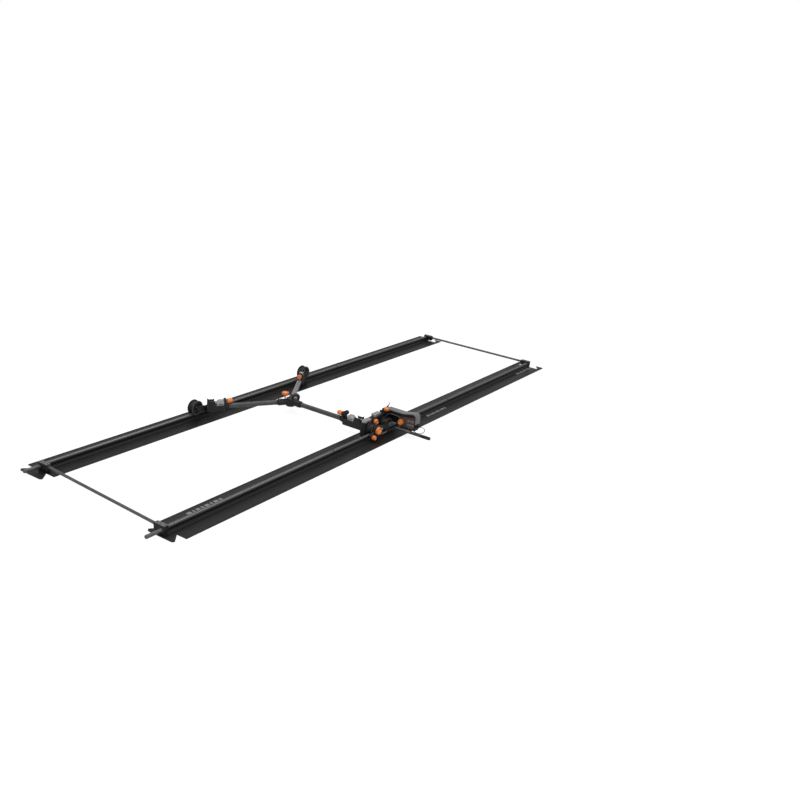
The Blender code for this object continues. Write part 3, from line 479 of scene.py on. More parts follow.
def piece(name, bm, material, body, sharp=38):
    """Turns a bmesh into a named piece that rides on a body."""
    bmesh.ops.recalc_face_normals(bm, faces=bm.faces)
    mesh = bpy.data.meshes.new(name)
    bm.to_mesh(mesh)
    bm.free()
    mesh.shade_smooth()
    mesh.set_sharp_from_angle(angle=math.radians(sharp))
    mesh.materials.append(material)
    thing = bpy.data.objects.new(name, mesh)
    bpy.context.scene.collection.objects.link(thing)
    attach(thing, body)
    return thing


def turned(name, levels, sides, matrix, material, body):
    """A piece made of one set of rings."""
    bm = bmesh.new()
    add_rings(bm, levels, sides, matrix)
    return piece(name, bm, material, body)


def closed(levels):
    return [*levels, levels[0]]


def pivot(joint_name):
    """A joint's place and axis."""
    joint = JOINTS[joint_name]
    return Vector(joint["pos_m"]), Vector(joint["axis"])


def arc(centre, radius, start, end, count):
    angles = (math.radians(start + (end - start) * i / (count - 1)) for i in range(count))
    return [(centre[0] + radius * math.cos(a), centre[1] + radius * math.sin(a)) for a in angles]


def stadium(first, second, radius, count=10):
    run = math.degrees(math.atan2(second[1] - first[1], second[0] - first[0]))
    return arc(first, radius, run + 90, run + 270, count) + arc(second, radius, run - 90, run + 90, count)


def rounded(low, high, radius, count=5):
    corners = (
        ((high[0] - radius, high[1] - radius), 0),
        ((low[0] + radius, high[1] - radius), 90),
        ((low[0] + radius, low[1] + radius), 180),
        ((high[0] - radius, low[1] + radius), 270),
    )
    return [point for centre, start in corners for point in arc(centre, radius, start, start + 90, count)]


def hexagon(angle):
    """The reach of a hexagon at an angle, as a share of its corner radius."""
    within = (angle % (math.pi / 3)) - math.pi / 6
    return math.cos(math.pi / 6) / math.cos(within)


def flutes(count, depth):
    return lambda angle: 1 - depth * (0.5 + 0.5 * math.cos(count * angle)) ** 3


def add_screw(bm, place, axis, radius, height=None):
    """A socket-head screw standing on place."""
    height = height or radius * 0.9
    sunk = height * 0.45
    levels = [
        (radius * 0.97, -0.0006),
        (radius, 0.0002),
        (radius, height - radius * 0.18),
        (radius * 0.86, height),
        (radius * 0.60, height),
        (radius * 0.56, height - radius * 0.04, hexagon),
        (radius * 0.54, sunk, hexagon),
        (0, sunk),
    ]
    add_rings(bm, levels, 24, spin_to(axis, place))


def add_screws(name, body, places, radius, material=None, height=None):
    """One piece holding several like screws, each given as a place and an axis."""
    bm = bmesh.new()
    for place, axis in places:
        add_screw(bm, place, axis, radius, height)
    return piece(name, bm, material or DARK_STEEL, body)


def along_axis(node, place, axis):
    """How far a node reaches along an axis from a place, and its largest radius about it."""
    axis, place = Vector(axis).normalized(), Vector(place)
    reach, wide = [], 0.0
    for vert in NODES[node].data.vertices:
        offset = vert.co - place
        height = offset.dot(axis)
        reach.append(height)
        wide = max(wide, (offset - height * axis).length)
    return min(reach), max(reach), wide


def finish_node(node, material, soften=0.0):
    """Gives a CAD node its material, smooth shading between shallow faces, and softened edges."""
    thing = NODES[node]
    thing.data.materials.clear()
    thing.data.materials.append(material)
    for face in thing.data.polygons:
        face.use_smooth = True
    weld = thing.modifiers.new("weld", "WELD")
    weld.merge_threshold = 0.00001
    if soften:
        bevel = thing.modifiers.new("soften", "BEVEL")
        bevel.width = soften
        bevel.segments = 2
        bevel.limit_method = "ANGLE"
        bevel.angle_limit = math.radians(40)
        bevel.use_clamp_overlap = True
    split = thing.modifiers.new("split", "EDGE_SPLIT")
    split.split_angle = math.radians(38)
    thing.modifiers.new("flat_faces", "WEIGHTED_NORMAL")


# ---- Control lead ----


def smooth_route(points, count):
    """Evenly numbered points on a Catmull-Rom curve through a route."""
    route = [Vector(p) for p in points]
    route = [2 * route[0] - route[1], *route, 2 * route[-1] - route[-2]]
    spans = len(route) - 3
    for i in range(count):
        place = spans * i / (count - 1)
        k = min(int(place), spans - 1)
        t = place - k
        a, b, c, d = route[k : k + 4]
        yield (2 * b + (c - a) * t + (2 * a - 5 * b + 4 * c - d) * t**2 + (3 * b - a - 3 * c + d) * t**3) / 2


def make_lead():
    """The lead from the end connector, round in a loop and up into the box's underside."""
    low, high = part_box("lead_connector")
    x, start, z = (low.x + high.x) / 2, low.y, (low.z + high.z) / 2
    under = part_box("control_box")[0].z
    route = [
        (x, start - 0.0006, z),
        (x, start - 0.010, z),
        (x, start - 0.022, z - 0.001),
        (x, start - 0.030, z - 0.009),
        (x, start - 0.028, z - 0.021),
        (x, start - 0.018, z - 0.032),
        (x, start - 0.002, z - 0.040),
        (x, start + 0.018, z - 0.043),
        (x, start + 0.034, z - 0.040),
        (x, start + 0.041, under - 0.0012),
    ]
    points = list(smooth_route(route, 60))
    curve = bpy.data.curves.new("control_lead_sleeve", "CURVE")
    curve.dimensions = "3D"
    curve.bevel_depth = 0.0022
    curve.bevel_resolution = 4
    curve.use_fill_caps = True
    spline = curve.splines.new("POLY")
    spline.points.add(len(points) - 1)
    for knot, point in zip(spline.points, points):
        knot.co = (*point, 1.0)
    curve.materials.append(LEAD)
    lead = bpy.data.objects.new("control_lead_sleeve", curve)
    bpy.context.scene.collection.objects.link(lead)
    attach(lead, "dolly")
    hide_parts("control_lead")


# ---- Knobs and dial ----


def make_knob(node, count=18):
    """A fluted clamp knob with a recessed face and a turned centre, in the space of the CAD knob."""
    body = JOINTS[f"{node}_turn"]["child"]
    place, axis = pivot(f"{node}_turn")
    low, high, radius = along_axis(node, place, axis)
    stem = grip_start(node, place, axis, radius)
    base = spin_to(axis, place)
    grip = high - stem
    rib = flutes(count, 0.085)
    shank = [(0, low), (0.0042, low), (0.0042, stem - 0.0016), (0.0075, stem - 0.0010), (0.0080, stem)]
    # Radii are shares of the knob's radius, and heights are shares of the grip above the stem.
    side = [
        (0.80, 0), (0.90, 0.03), (0.97, 0.09, rib), (1, 0.17, rib), (1, 0.62, rib), (0.985, 0.72, rib),
        (0.955, 0.76), (0.955, 0.81), (0.985, 0.85), (0.975, 0.93), (0.91, 0.985),
        (0.84, 1), (0.66, 1), (0.61, 0.95), (0.58, 0.86), (0.30, 0.85), (0, 0.85),
    ]
    levels = shank + [(share * radius, stem + rise * grip, *shape) for share, rise, *shape in side]
    knob = turned(f"{node}_grip", levels, 144, base, ORANGE, body)
    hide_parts(node)
    floor = high - 0.15 * grip
    rises = [
        (0.57, 0.03), (0.50, 0.06), (0.26, 0.06), (0.22, 0.02), (0.17, 0.02),
        (0.15, 0.09), (0.10, 0.11), (0, 0.11),
    ]
    # The lighter face disc is a painted highlight on the knob's face.
    face = [(0, floor - 0.0002), (0.57 * radius, floor - 0.0002)]
    face += [(share * radius, floor + rise * grip) for share, rise in rises]
    turned(f"{node}_face", face, 48, base, ORANGE_FACE_PAINTED_HIGHLIGHT, body)


def grip_start(node, place, axis, radius):
    """Where a knob's grip starts: the lowest point that lies out near its full radius."""
    heights = []
    for vert in NODES[node].data.vertices:
        offset = vert.co - place
        height = offset.dot(axis)
        if (offset - height * axis).length > 0.8 * radius:
            heights.append(height)
    return min(heights)


def make_dial_marks():
    """A pointer on the dial's face, and a plain scale of ticks on the panel round it."""
    place, axis = pivot("speed_dial_turn")
    high, radius = along_axis("speed_dial", place, axis)[1:]
    face = place + axis * high
    bm = bmesh.new()
    low_corner = (face.x - 0.0005, face.y - 0.0008, face.z + 0.60 * radius)
    high_corner = (face.x + 0.0020, face.y + 0.0008, face.z + 0.93 * radius)
    add_block(bm, low_corner, high_corner, 0.0002)
    piece("speed_dial_pointer", bm, MARK, "speed_dial")
    bm = bmesh.new()
    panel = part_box("control_panel")[0].x
    reach = radius + 0.0014
    for i in range(11):
        angle = math.radians(-60 + 30 * i)
        turn = Matrix.Translation((panel, place.y, place.z)) @ Matrix.Rotation(angle, 4, "X")
        add_block(bm, (-0.0003, -0.0004, reach), (0.0002, 0.0004, reach + 0.0022), 0.0, matrix=turn)
    piece("speed_scale", bm, MARK, "dolly")


# ---- Wheels ----


def make_wheel(letter):
    """A grooved tyre on a spoked rim, with a lighter band on each flange, a painted highlight on its edge."""
    name = f"wheel_{letter}"
    place, axis = pivot(f"{name}_roll")
    low, high, rim = along_axis(name, place, axis)
    half = (high - low) / 2
    groove = 0.0132
    centre = rim - 0.0005
    base = spin_to(axis, place)
    leans = [math.radians(a) for a in range(-86, 87, 8)]
    sweep = [(centre - groove * math.cos(lean), -groove * math.sin(lean)) for lean in leans]
    inner = centre - groove - 0.0048
    side = [
        (inner, 0.004), (inner, half - 0.0055), (inner + 0.0010, half - 0.0042),
        (rim - 0.0105, half - 0.0034), (rim - 0.0090, half - 0.0022), (rim - 0.0078, half - 0.0006),
        (rim - 0.0064, half), (rim - 0.0030, half), (rim - 0.0012, half - 0.0006),
        (rim - 0.0002, half - 0.0020), (rim - 0.0004, groove + 0.0004), (rim - 0.0016, groove - 0.0001),
    ]
    tyre = [*side, *sweep, *((r, -h) for r, h in reversed(side)), side[0]]
    bm = bmesh.new()
    add_rings(bm, tyre, 64, base)
    bmesh.ops.remove_doubles(bm, verts=bm.verts, dist=1e-6)
    wheel = piece(f"{name}_tyre", bm, TYRE, name)
    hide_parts(name)
    make_rim(name, base, inner, half)
    # The flange bands are painted highlight.
    bm = bmesh.new()
    out, face = half - 0.0003, half + 0.0002
    band = [(rim - 0.0062, out), (rim - 0.0060, face), (rim - 0.0036, face), (rim - 0.0034, out)]
    for way in (1, -1):
        add_rings(bm, closed([(radius, way * height) for radius, height in band]), 64, base)
    piece(f"{name}_painted_highlight_bands", bm, BAND_PAINTED_HIGHLIGHT, name)


def make_rim(name, base, inner, half):
    """The rim: a thin web with a boss for the bearing, and spokes on the wheels that have room for them."""
    bore, web, hub = 0.0053, 0.0055, half - 0.0030
    boss = min(0.0118, inner - 0.0035)
    bm = bmesh.new()
    profile = [
        (bore, hub), (boss * 0.62, hub), (boss * 0.66, hub - 0.0006), (boss * 0.92, hub - 0.0006),
        (boss, hub - 0.0016), (boss, web + 0.0016), (boss + 0.0012, web), (inner - 0.0012, web),
        (inner - 0.0002, web + 0.0012), (inner - 0.0002, half - 0.0062),
        (inner + 0.0004, half - 0.0062), (inner + 0.0004, 0.0),
    ]
    add_rings(bm, closed([*profile, *((r, -h) for r, h in reversed(profile[:-1]))]), 48, base)
    bmesh.ops.remove_doubles(bm, verts=bm.verts, dist=1e-6)
    piece(f"{name}_rim", bm, RIM, name)
    if inner - boss < 0.006:
        return
    bm = bmesh.new()
    for way in (1, -1):
        bottom, top = sorted((way * web, way * (web + 0.0048)))
        for i in range(6):
            spoke = base @ Matrix.Rotation(math.radians(60 * i), 4, "Z")
            low = (boss - 0.0010, -0.0021, bottom)
            add_block(bm, low, (inner + 0.0002, 0.0021, top), 0.0008, matrix=spoke)
    piece(f"{name}_spokes", bm, RIM, name)


def make_axle_ends():
    """A bearing seal and a screw at the outer end of each large wheel's axle, fixed to the dolly."""
    seal = [
        (0, -0.004), (0.0049, -0.004), (0.0049, 0.0), (0.0085, 0.0),
        (0.0088, 0.0004), (0.0088, 0.0011), (0.0082, 0.0014), (0, 0.0014),
    ]
    for letter in "ab":
        place, axis = pivot(f"wheel_{letter}_roll")
        end = place + axis * (along_axis(f"wheel_{letter}", place, axis)[1] - 0.0012)
        bm = bmesh.new()
        add_rings(bm, seal, 32, spin_to(axis, end))
        add_screw(bm, end + axis * 0.0012, axis, 0.0052, 0.0036)
        piece(f"axle_end_{letter}", bm, STEEL, "dolly")


# ---- Track ----


def rail_centre(label):
    low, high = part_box(f"{label}_rail_2")
    return (low.y + high.y) / 2


def make_rails():
    """Materials on the sections, a lighter crown strip and two lighter lines on the head, all painted
    highlight, and ribs along the wings.
    """
    for label in RAIL_LABELS:
        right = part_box(f"{label}_saddle_right")[0].x
        low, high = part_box(f"{label}_rail_2")
        centre = ((low.y + high.y) / 2, high.z - HEAD_RADIUS)
        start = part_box(f"{label}_saddle_left")[1].x + 0.004
        for index in (1, 2, 3):
            finish_node(f"{label}_rail_{index}", RAIL, 0.0005)
            run = start, min(right, TRACK_LEFT + SECTION_LENGTH * index - HEAD_SHIFT) - 0.003
            # The crown strip's lighter grey is a painted highlight on the head's lit top.
            bm = bmesh.new()
            add_head_strip(bm, centre, run, (-62, 62), 0.0002, 15)
            piece(f"{label}_crown_{index}", bm, CROWN_PAINTED_HIGHLIGHT, "track")
            # The two lighter lines are painted highlight lines along the head.
            bm = bmesh.new()
            for lean in (-27, 27):
                add_head_strip(bm, centre, run, (lean - 5, lean + 5), 0.0004, 5)
            piece(f"{label}_head_highlight_lines_{index}", bm, HEAD_LINE_PAINTED_HIGHLIGHT, "track")
            start = run[1] + 0.006
        make_ribs(label, centre[0])


def add_head_strip(bm, centre, run, leans, proud, count):
    """A strip laid on the round head between two leans from upright, in degrees."""
    first, last = (90 - lean for lean in leans)
    outer = arc(centre, HEAD_RADIUS + proud, first, last, count)
    inner = arc(centre, HEAD_RADIUS - 0.0006, last, first, count)
    add_prism(bm, outer + inner, *run, "YZ", 0.0)


def make_ribs(label, middle):
    """Fine ribs along the wings, one set to each section, clear of the dovetails."""
    bm = bmesh.new()
    for index in range(3):
        left = TRACK_LEFT + SECTION_LENGTH * index
        first, last = left + 0.004, left + SECTION_LENGTH - 0.070
        for offset in (-0.0880, -0.0905, -0.0930, 0.0880, 0.0905, 0.0930):
            y = middle + offset
            low = (first, y - 0.0007, BASE_THICKNESS - 0.0003)
            add_block(bm, low, (last, y + 0.0007, BASE_THICKNESS + 0.0004), 0.0002, 1)
    piece(f"{label}_wing_ribs", bm, RAIL, "track")


def make_rail_marks():
    """Plain rows of bars where the track carries a printed mark."""
    middle, half = rail_centre("near"), 0.009
    for number, (x, y) in enumerate(((-1.643, 0.062), (0.262, -0.034), (1.500, -0.032)), 1):
        bm = bmesh.new()
        for width in (0.026, 0.010, 0.022, 0.012, 0.024, 0.010, 0.026, 0.014):
            low = (x, middle + y - half, BASE_THICKNESS - 0.0002)
            add_block(bm, low, (x + width, middle + y + half, BASE_THICKNESS + 0.00025), 0.0)
            x += width + 0.011
        piece(f"near_mark_{number}", bm, MARK, "track")


def make_saddles():
    """A clamp bar and screws on each block, the bar's lighter grey a painted highlight on the block's top,
    and a collar where a spreader rod enters its inner face.
    """
    bore = ROD_RADIUS + 0.0003
    collar = [
        (bore, 0.0002), (0.0104, 0.0002), (0.0108, 0.0008),
        (0.0108, 0.0046), (0.0100, 0.0058), (bore, 0.0060),
    ]
    for label in RAIL_LABELS:
        middle = rail_centre(label)
        inward = 1 if label == "near" else -1
        for end in ("left", "right"):
            node = f"{label}_saddle_{end}"
            finish_node(node, CAST)
            low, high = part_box(node)
            top, inset = high.z + 0.0016, 0.0025
            # The bar's lighter grey is a painted highlight on the block's lit top.
            bm = bmesh.new()
            corner = (low.x + inset, low.y + inset, high.z - 0.0006)
            add_block(bm, corner, (high.x - inset, high.y - inset, top), 0.0008)
            piece(f"{node}_bar", bm, CLAMP_PAINTED_HIGHLIGHT, "track")
            x = (low.x + high.x) / 2
            rows = (-0.008, 0.019, 0.042)
            places = [((x, middle + inward * across, top - 0.0002), Z) for across in rows]
            add_screws(f"{node}_screws", "track", places, 0.0028)
            entry, way = rod_entry(label, end)
            matrix = spin_to(way, entry)
            turned(f"{node}_collar", closed(collar), 32, matrix, MACHINED, "track")
        finish_node(f"{label}_joining_pin", ROD)
        make_pin_ring(label, middle)
    for end in ("left", "right"):
        finish_node(f"spreader_rod_{end}", ROD)


def rod_entry(label, end):
    """Where a spreader rod's centre line leaves its block's inner face, and its way out from there."""
    node = f"spreader_rod_{end}"
    points = [v.co for v in NODES[node].data.vertices]
    low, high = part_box(node)
    ends = []
    for y in (low.y, high.y):
        ring = [p for p in points if abs(p.y - y) < 2 * ROD_RADIUS]
        ends.append(sum(ring, Vector()) / len(ring))
    first, second = ends if label == "near" else reversed(ends)
    way = (second - first).normalized()
    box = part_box(f"{label}_saddle_{end}")
    face = box[1].y if label == "near" else box[0].y
    return first + way * abs((face - first.y) / way.y), way


def make_pin_ring(label, middle):
    """A low ring near the joining pin's tip, standing just proud of it."""
    low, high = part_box(f"{label}_joining_pin")
    z, radius = (low.z + high.z) / 2, (high.z - low.z) / 2
    sunk, proud = radius - 0.0004, radius + 0.0005
    ring = [(sunk, 0.0), (proud, 0.0004), (proud, 0.0026), (sunk, 0.0030)]
    matrix = spin_to(X, (low.x + 0.008, middle, z))
    turned(f"{label}_pin_ring", closed(ring), 32, matrix, ROD, "track")


# ---- Dolly ----


def hub_place():
    """The hub's axis, placed 40 mm past the straight arm's inner tube end, at that tube's middle across and
    in height.
    """
    low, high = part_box("arm_tube_c")
    return Vector(((low.x + high.x) / 2, high.y + 0.040, (low.z + high.z) / 2))


def arm_frame(label):
    """A frame at the hub's axis on the tube's height, whose +X runs out along the arm."""
    way = Vector(JOINTS[f"foot_cup_{label}_slide"]["axis"])
    hub = hub_place()
    return Matrix.Translation(hub) @ Matrix.Rotation(math.atan2(way.y, way.x), 4, "Z")


def make_hub():
    """Rings, clamp lugs and screws on the three collars, and a turned plate under the drum."""
    finish_node("hub_body", CAST, 0.0007)
    finish_node("hub_cap", SILVER, 0.0006)
    rings, lugs, places = bmesh.new(), bmesh.new(), []
    for label in "abc":
        base = arm_frame(label)
        for start in (0.0555, 0.0705):
            ring = [
                (0.0190, start), (0.0207, start + 0.0006), (0.0210, start + 0.0016),
                (0.0210, start + 0.0040), (0.0207, start + 0.0050), (0.0190, start + 0.0056),
            ]
            add_rings(rings, closed(ring), 48, base @ spin_to(X))
        add_block(lugs, (0.056, -0.0225, -0.006), (0.076, -0.0170, 0.006), 0.0012, matrix=base)
        way = base.to_3x3() @ -Y
        places += [(base @ Vector((run, -0.0222, 0.0)), way) for run in (0.0605, 0.0715)]
    piece("hub_collar_rings", rings, MACHINED, "dolly")
    piece("hub_clamp_lugs", lugs, CAST, "dolly")
    add_screws("hub_clamp_screws", "dolly", places, 0.0030)
    hub = hub_place()
    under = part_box("hub_body")[0].z
    below, above = under - 0.0012, under + 0.0010
    plate = [(0, below), (0.0180, below), (0.0195, under - 0.0004), (0.0200, above), (0, above)]
    matrix = Matrix.Translation((hub.x, hub.y, 0))
    turned("hub_base_plate", plate, 40, matrix, MACHINED, "dolly")


def make_tubes():
    """Finishes on the arm tubes, and a rubber ferrule round each end."""
    for label in "abc":
        # Arm B's lighter tube is a painted highlight.
        finish_node(f"arm_tube_{label}", TUBE_PAINTED_HIGHLIGHT if label == "b" else TUBE)
        bm = bmesh.new()
        for start, end in ((0.0765, 0.0900), (0.3790, 0.3915)):
            ring = [
                (0.0143, start), (0.0158, start + 0.0007), (0.0162, start + 0.0020),
                (0.0162, end - 0.0020), (0.0158, end - 0.0007), (0.0143, end),
            ]
            add_rings(bm, closed(ring), 48, arm_frame(label) @ spin_to(X))
        piece(f"arm_ferrules_{label}", bm, RUBBER, "dolly")


def make_cradles():
    """Each cradle's finish and side screws, with its cup, strap and pads."""
    for label in "abc":
        finish_node(f"cradle_{label}", CAST, 0.0007)
        make_cup(label)
        make_strap(label)
        base = arm_frame(label)
        shift = 0.028 if label == "c" else 0.0
        places = []
        for side in (-1, 1):
            way = base.to_3x3() @ (side * Y)
            for run in (0.418, 0.448, 0.470 + shift, 0.494 + shift):
                places.append((base @ Vector((run, side * 0.0208, -0.016)), way))
        add_screws(f"cradle_screws_{label}", "dolly", places, 0.0026, height=0.0018)
        make_pads(label, base, 0.464 + shift)


def make_pads(label, base, start):
    """Rubber pads inside the cheeks and on the floor of the seat."""
    bm = bmesh.new()
    for left, right in ((-0.0151, -0.0138), (0.0138, 0.0151)):
        add_block(bm, (start, left, 0.012), (start + 0.036, right, 0.034), 0.0005, matrix=base)
    for i in range(6):
        run = start + 0.002 + i * 0.0058
        add_block(bm, (run, -0.012, 0.0090), (run + 0.0030, 0.012, 0.0105), 0.0005, matrix=base)
    piece(f"seat_pads_{label}", bm, RUBBER, "dolly")


def make_cup(label):
    """The sliding cup: a machined jaw with a sloped front, ribs along its top and a slide on each side."""
    node = f"foot_cup_{label}"
    base = arm_frame(label)
    points = [base.inverted() @ v.co for v in NODES[node].data.vertices]
    start, end = min(p.x for p in points), max(p.x for p in points)
    low, high = min(p.z for p in points), max(p.z for p in points)
    half = max(p.y for p in points)
    outline = [
        (start, low), (end, low), (end, high - 0.013), (end - 0.003, high - 0.0095),
        (end - 0.012, high - 0.0012), (end - 0.014, high),
        (start + 0.003, high), (start + 0.001, high - 0.001), (start, high - 0.003),
    ]
    bm = bmesh.new()
    add_prism(bm, outline, -half, half, "XZ", 0.0014, matrix=base)
    cup = piece(f"{node}_jaw", bm, SILVER, node)
    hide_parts(node)
    bm = bmesh.new()
    wide = half + 0.0002
    for i in range(4):
        run = start + 0.005 + i * 0.0055
        corners = (run, -wide, high - 0.0004), (run + 0.0026, wide, high + 0.0007)
        add_block(bm, *corners, 0.0004, matrix=base)
    piece(f"{node}_ribs", bm, SILVER, node)
    bm = bmesh.new()
    for way in (-1, 1):
        left, right = sorted((way * (half - 0.0006), way * (half + 0.0010)))
        corners = (start + 0.004, left, low + 0.006), (end - 0.006, right, low + 0.0105)
        add_block(bm, *corners, 0.0004, matrix=base)
    piece(f"{node}_slides", bm, MACHINED, node)


def make_strap(label):
    """A toothed strap between the horns, and the ends of its hinge pin."""
    node = f"foot_strap_{label}"
    base = arm_frame(label)
    hinge = base.inverted() @ pivot(f"{node}_lift")[0]
    wide = 0.011
    leans = [math.radians(a) for a in range(-90, 91, 20)]
    profile = [(hinge.y + 0.0023 * math.cos(a), hinge.z + 0.0023 * math.sin(a)) for a in leans]
    far = hinge.y - 0.024
    profile += [
        (far, hinge.z + 0.0016), (far - 0.0020, hinge.z + 0.0006),
        (far - 0.0020, hinge.z - 0.0010), (far, hinge.z - 0.0016),
    ]
    bm = bmesh.new()
    add_prism(bm, profile, hinge.x - wide, hinge.x + wide, "YZ", 0.0006, matrix=base)
    tooth = wide - 0.003
    for i in range(7):
        y = hinge.y - 0.0055 - i * 0.0027
        low = (hinge.x - tooth, y, hinge.z + 0.0012)
        add_block(bm, low, (hinge.x + tooth, y + 0.0013, hinge.z + 0.0026), 0.0003, matrix=base)
    strap = piece(f"{node}_band", bm, STRAP, node)
    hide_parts(node)
    bm = bmesh.new()
    end = [(0, -0.001), (0.0016, -0.001), (0.0016, 0.0016), (0.0012, 0.0022), (0, 0.0022)]
    for way in (-1, 1):
        place = base @ Vector((hinge.x + way * wide, hinge.y, hinge.z))
        add_rings(bm, end, 20, spin_to(base.to_3x3() @ (way * X), place))
    piece(f"{node}_pin", bm, STEEL, node)


def make_ball_handle():
    """The ball on arm C, turned smooth with its stem, and the block it stands on."""
    base = arm_frame("c")
    points = [base.inverted() @ v.co for v in NODES["ball_handle_c"].data.vertices]
    foot, top = min(p.z for p in points), max(p.z for p in points)
    radius = 0.013
    ball_runs = [p.x for p in points if p.z > top - radius]
    run = sum(ball_runs) / len(ball_runs)
    centre = top - radius
    tilts = [math.radians(a) for a in range(9, 154, 9)]
    ball = [(radius * math.sin(a), centre + radius * math.cos(a)) for a in tilts]
    stem = [
        (0.0042, centre - 0.0125), (0.0036, centre - 0.0140), (0.0036, foot + 0.0090),
        (0.0062, foot + 0.0078), (0.0066, foot + 0.0058), (0, foot + 0.0058),
    ]
    levels = [(0, centre + radius), *ball, *stem]
    matrix = base @ Matrix.Translation((run, 0, 0))
    handle = turned("ball_handle_knob", levels, 40, matrix, RUBBER, "foot_cup_c")
    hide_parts("ball_handle_c")
    bm = bmesh.new()
    end = (max(p.x for p in points), 0.007, foot + 0.0058)
    add_block(bm, (run - 0.006, -0.007, foot), end, 0.0008, matrix=base)
    piece("ball_handle_foot", bm, MACHINED, "foot_cup_c")


def make_drive():
    """The drive's covers with their ribs and screws, its motor fins and two side plates."""
    finish_node("drive_housing", CAST, 0.0008)
    finish_node("yoke_plate", MACHINED, 0.0006)
    # The covers' silver is partly their metal and partly a painted highlight on the drive's lit top.
    for node in ("motor_cover", "gear_cover"):
        finish_node(node, SILVER, 0.0007)
        low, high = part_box(node)
        inset = 0.0075
        columns, rows = (low.x + inset, high.x - inset), (low.y + inset, high.y - inset)
        places = [((x, y, high.z - 0.0002), Z) for x in columns for y in rows]
        add_screws(f"{node}_screws", "dolly", places, 0.0024, height=0.0016)
        bm = bmesh.new()
        for i in range(5):
            x = low.x + 0.017 + i * (high.x - low.x - 0.034) / 4
            rib = (x - 0.0011, low.y + 0.0060, high.z - 0.0006)
            add_block(bm, rib, (x + 0.0011, high.y - 0.0060, high.z + 0.0009), 0.0005)
        piece(f"{node}_ribs", bm, SILVER, "dolly")
    low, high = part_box("drive_housing")
    left, outer = low.x, high.y
    bm = bmesh.new()
    for i in range(9):
        z = low.z + 0.010 + i * 0.0075
        fin = (left - 0.0011, outer - 0.0330, z)
        add_block(bm, fin, (left + 0.0010, outer - 0.0050, z + 0.0028), 0.0006)
    piece("motor_fins", bm, CAST, "dolly")
    plates = (
        ("gearbox_side", (left + 0.086, 0.054), (high.x - 0.006, 0.102), outer - 0.0004, outer + 0.0016),
        ("motor_side", (left + 0.006, 0.022), (left + 0.076, 0.086), outer - 0.0009, outer + 0.0012),
    )
    inset = 0.006
    for name, near, far, back, face in plates:
        bm = bmesh.new()
        add_prism(bm, rounded(near, far, 0.006), back, face, "XZ", 0.0007)
        piece(f"{name}_plate", bm, MACHINED, "dolly")
        columns, rows = (near[0] + inset, far[0] - inset), (near[1] + inset, far[1] - inset)
        places = [((x, face - 0.0002, z), Y) for x in columns for z in rows]
        add_screws(f"{name}_screws", "dolly", places, 0.0026)
    make_yoke_details()


def make_yoke_details():
    """The yoke's bearing ring, its screws, and the guard strip that hangs under it."""
    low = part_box("yoke_plate")[0]
    near, far = pivot("wheel_c_roll")[0], pivot("wheel_d_roll")[0]
    ring = [
        (0.0086, -0.0004), (0.0120, -0.0004), (0.0122, 0.0006),
        (0.0116, 0.0014), (0.0090, 0.0014), (0.0086, 0.0008),
    ]
    # The bearing ring's light grey is a painted highlight, the light arc round the wheel's hub.
    matrix = spin_to(-Y, (far.x, low.y, far.z))
    turned("yoke_bearing_ring", closed(ring), 40, matrix, BAND_PAINTED_HIGHLIGHT, "dolly")
    # The axle screw's lighter grey is a painted highlight, the light dot at the wheel's centre.
    bm = bmesh.new()
    add_screw(bm, (far.x, low.y, far.z), -Y, 0.0052, 0.0040)
    piece("yoke_axle_screw", bm, CLAMP_PAINTED_HIGHLIGHT, "dolly")
    middle = (far.x + near.x) / 2
    bm = bmesh.new()
    add_screw(bm, (middle - 0.014, low.y, far.z - 0.005), -Y, 0.0050, 0.0034)
    piece("yoke_middle_screw", bm, STRAP, "dolly")
    level = low.z + 0.0020
    bm = bmesh.new()
    strip = (middle - 0.012, low.y - 0.0016, level)
    add_block(bm, strip, (middle + 0.040, low.y + 0.0010, level + 0.0075), 0.0007)
    piece("yoke_guard", bm, COPPER, "dolly")
    bm = bmesh.new()
    for x in (middle - 0.008, middle + 0.028):
        hanger = (x, low.y + 0.0006, level + 0.0010)
        add_block(bm, hanger, (x + 0.008, low.y + 0.0030, far.z - 0.010), 0.0006)
    piece("yoke_guard_hangers", bm, MACHINED, "dolly")


def make_control_box():
    """Finishes on the box, hood and panel, the hood's screws and the light edge under the panel."""
    finish_node("control_box", CAST, 0.0009)
    finish_node("hood", HOOD, 0.0006)
    finish_node("control_panel", PANEL, 0.0004)
    hood_low, hood_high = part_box("hood")
    run = hood_high.y - hood_low.y
    flat = flat_top("hood", hood_high.y) - 0.0002
    places = []
    for share in (0.08, 0.38):
        for x in (hood_low.x + 0.008, hood_high.x - 0.008):
            places.append(((x, hood_high.y - share * run, flat), Z))
    add_screws("hood_screws", "dolly", places, 0.0026, STEEL, 0.0014)
    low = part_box("control_box")[0]
    panel_low, panel_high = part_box("control_panel")
    bm = bmesh.new()
    edge_low = (low.x - 0.0006, panel_low.y + 0.001, low.z + 0.0006)
    edge_high = (low.x + 0.0012, panel_high.y + 0.004, panel_low.z - 0.0008)
    add_block(bm, edge_low, edge_high, 0.0005)
    piece("panel_edge", bm, END_GREY, "dolly")
    make_arch_trim()
    make_panel_details()


def flat_top(node, y):
    """The height of a node's top surface at its end nearest y."""
    return max(v.co.z for v in NODES[node].data.vertices if abs(v.co.y - y) < 0.001)


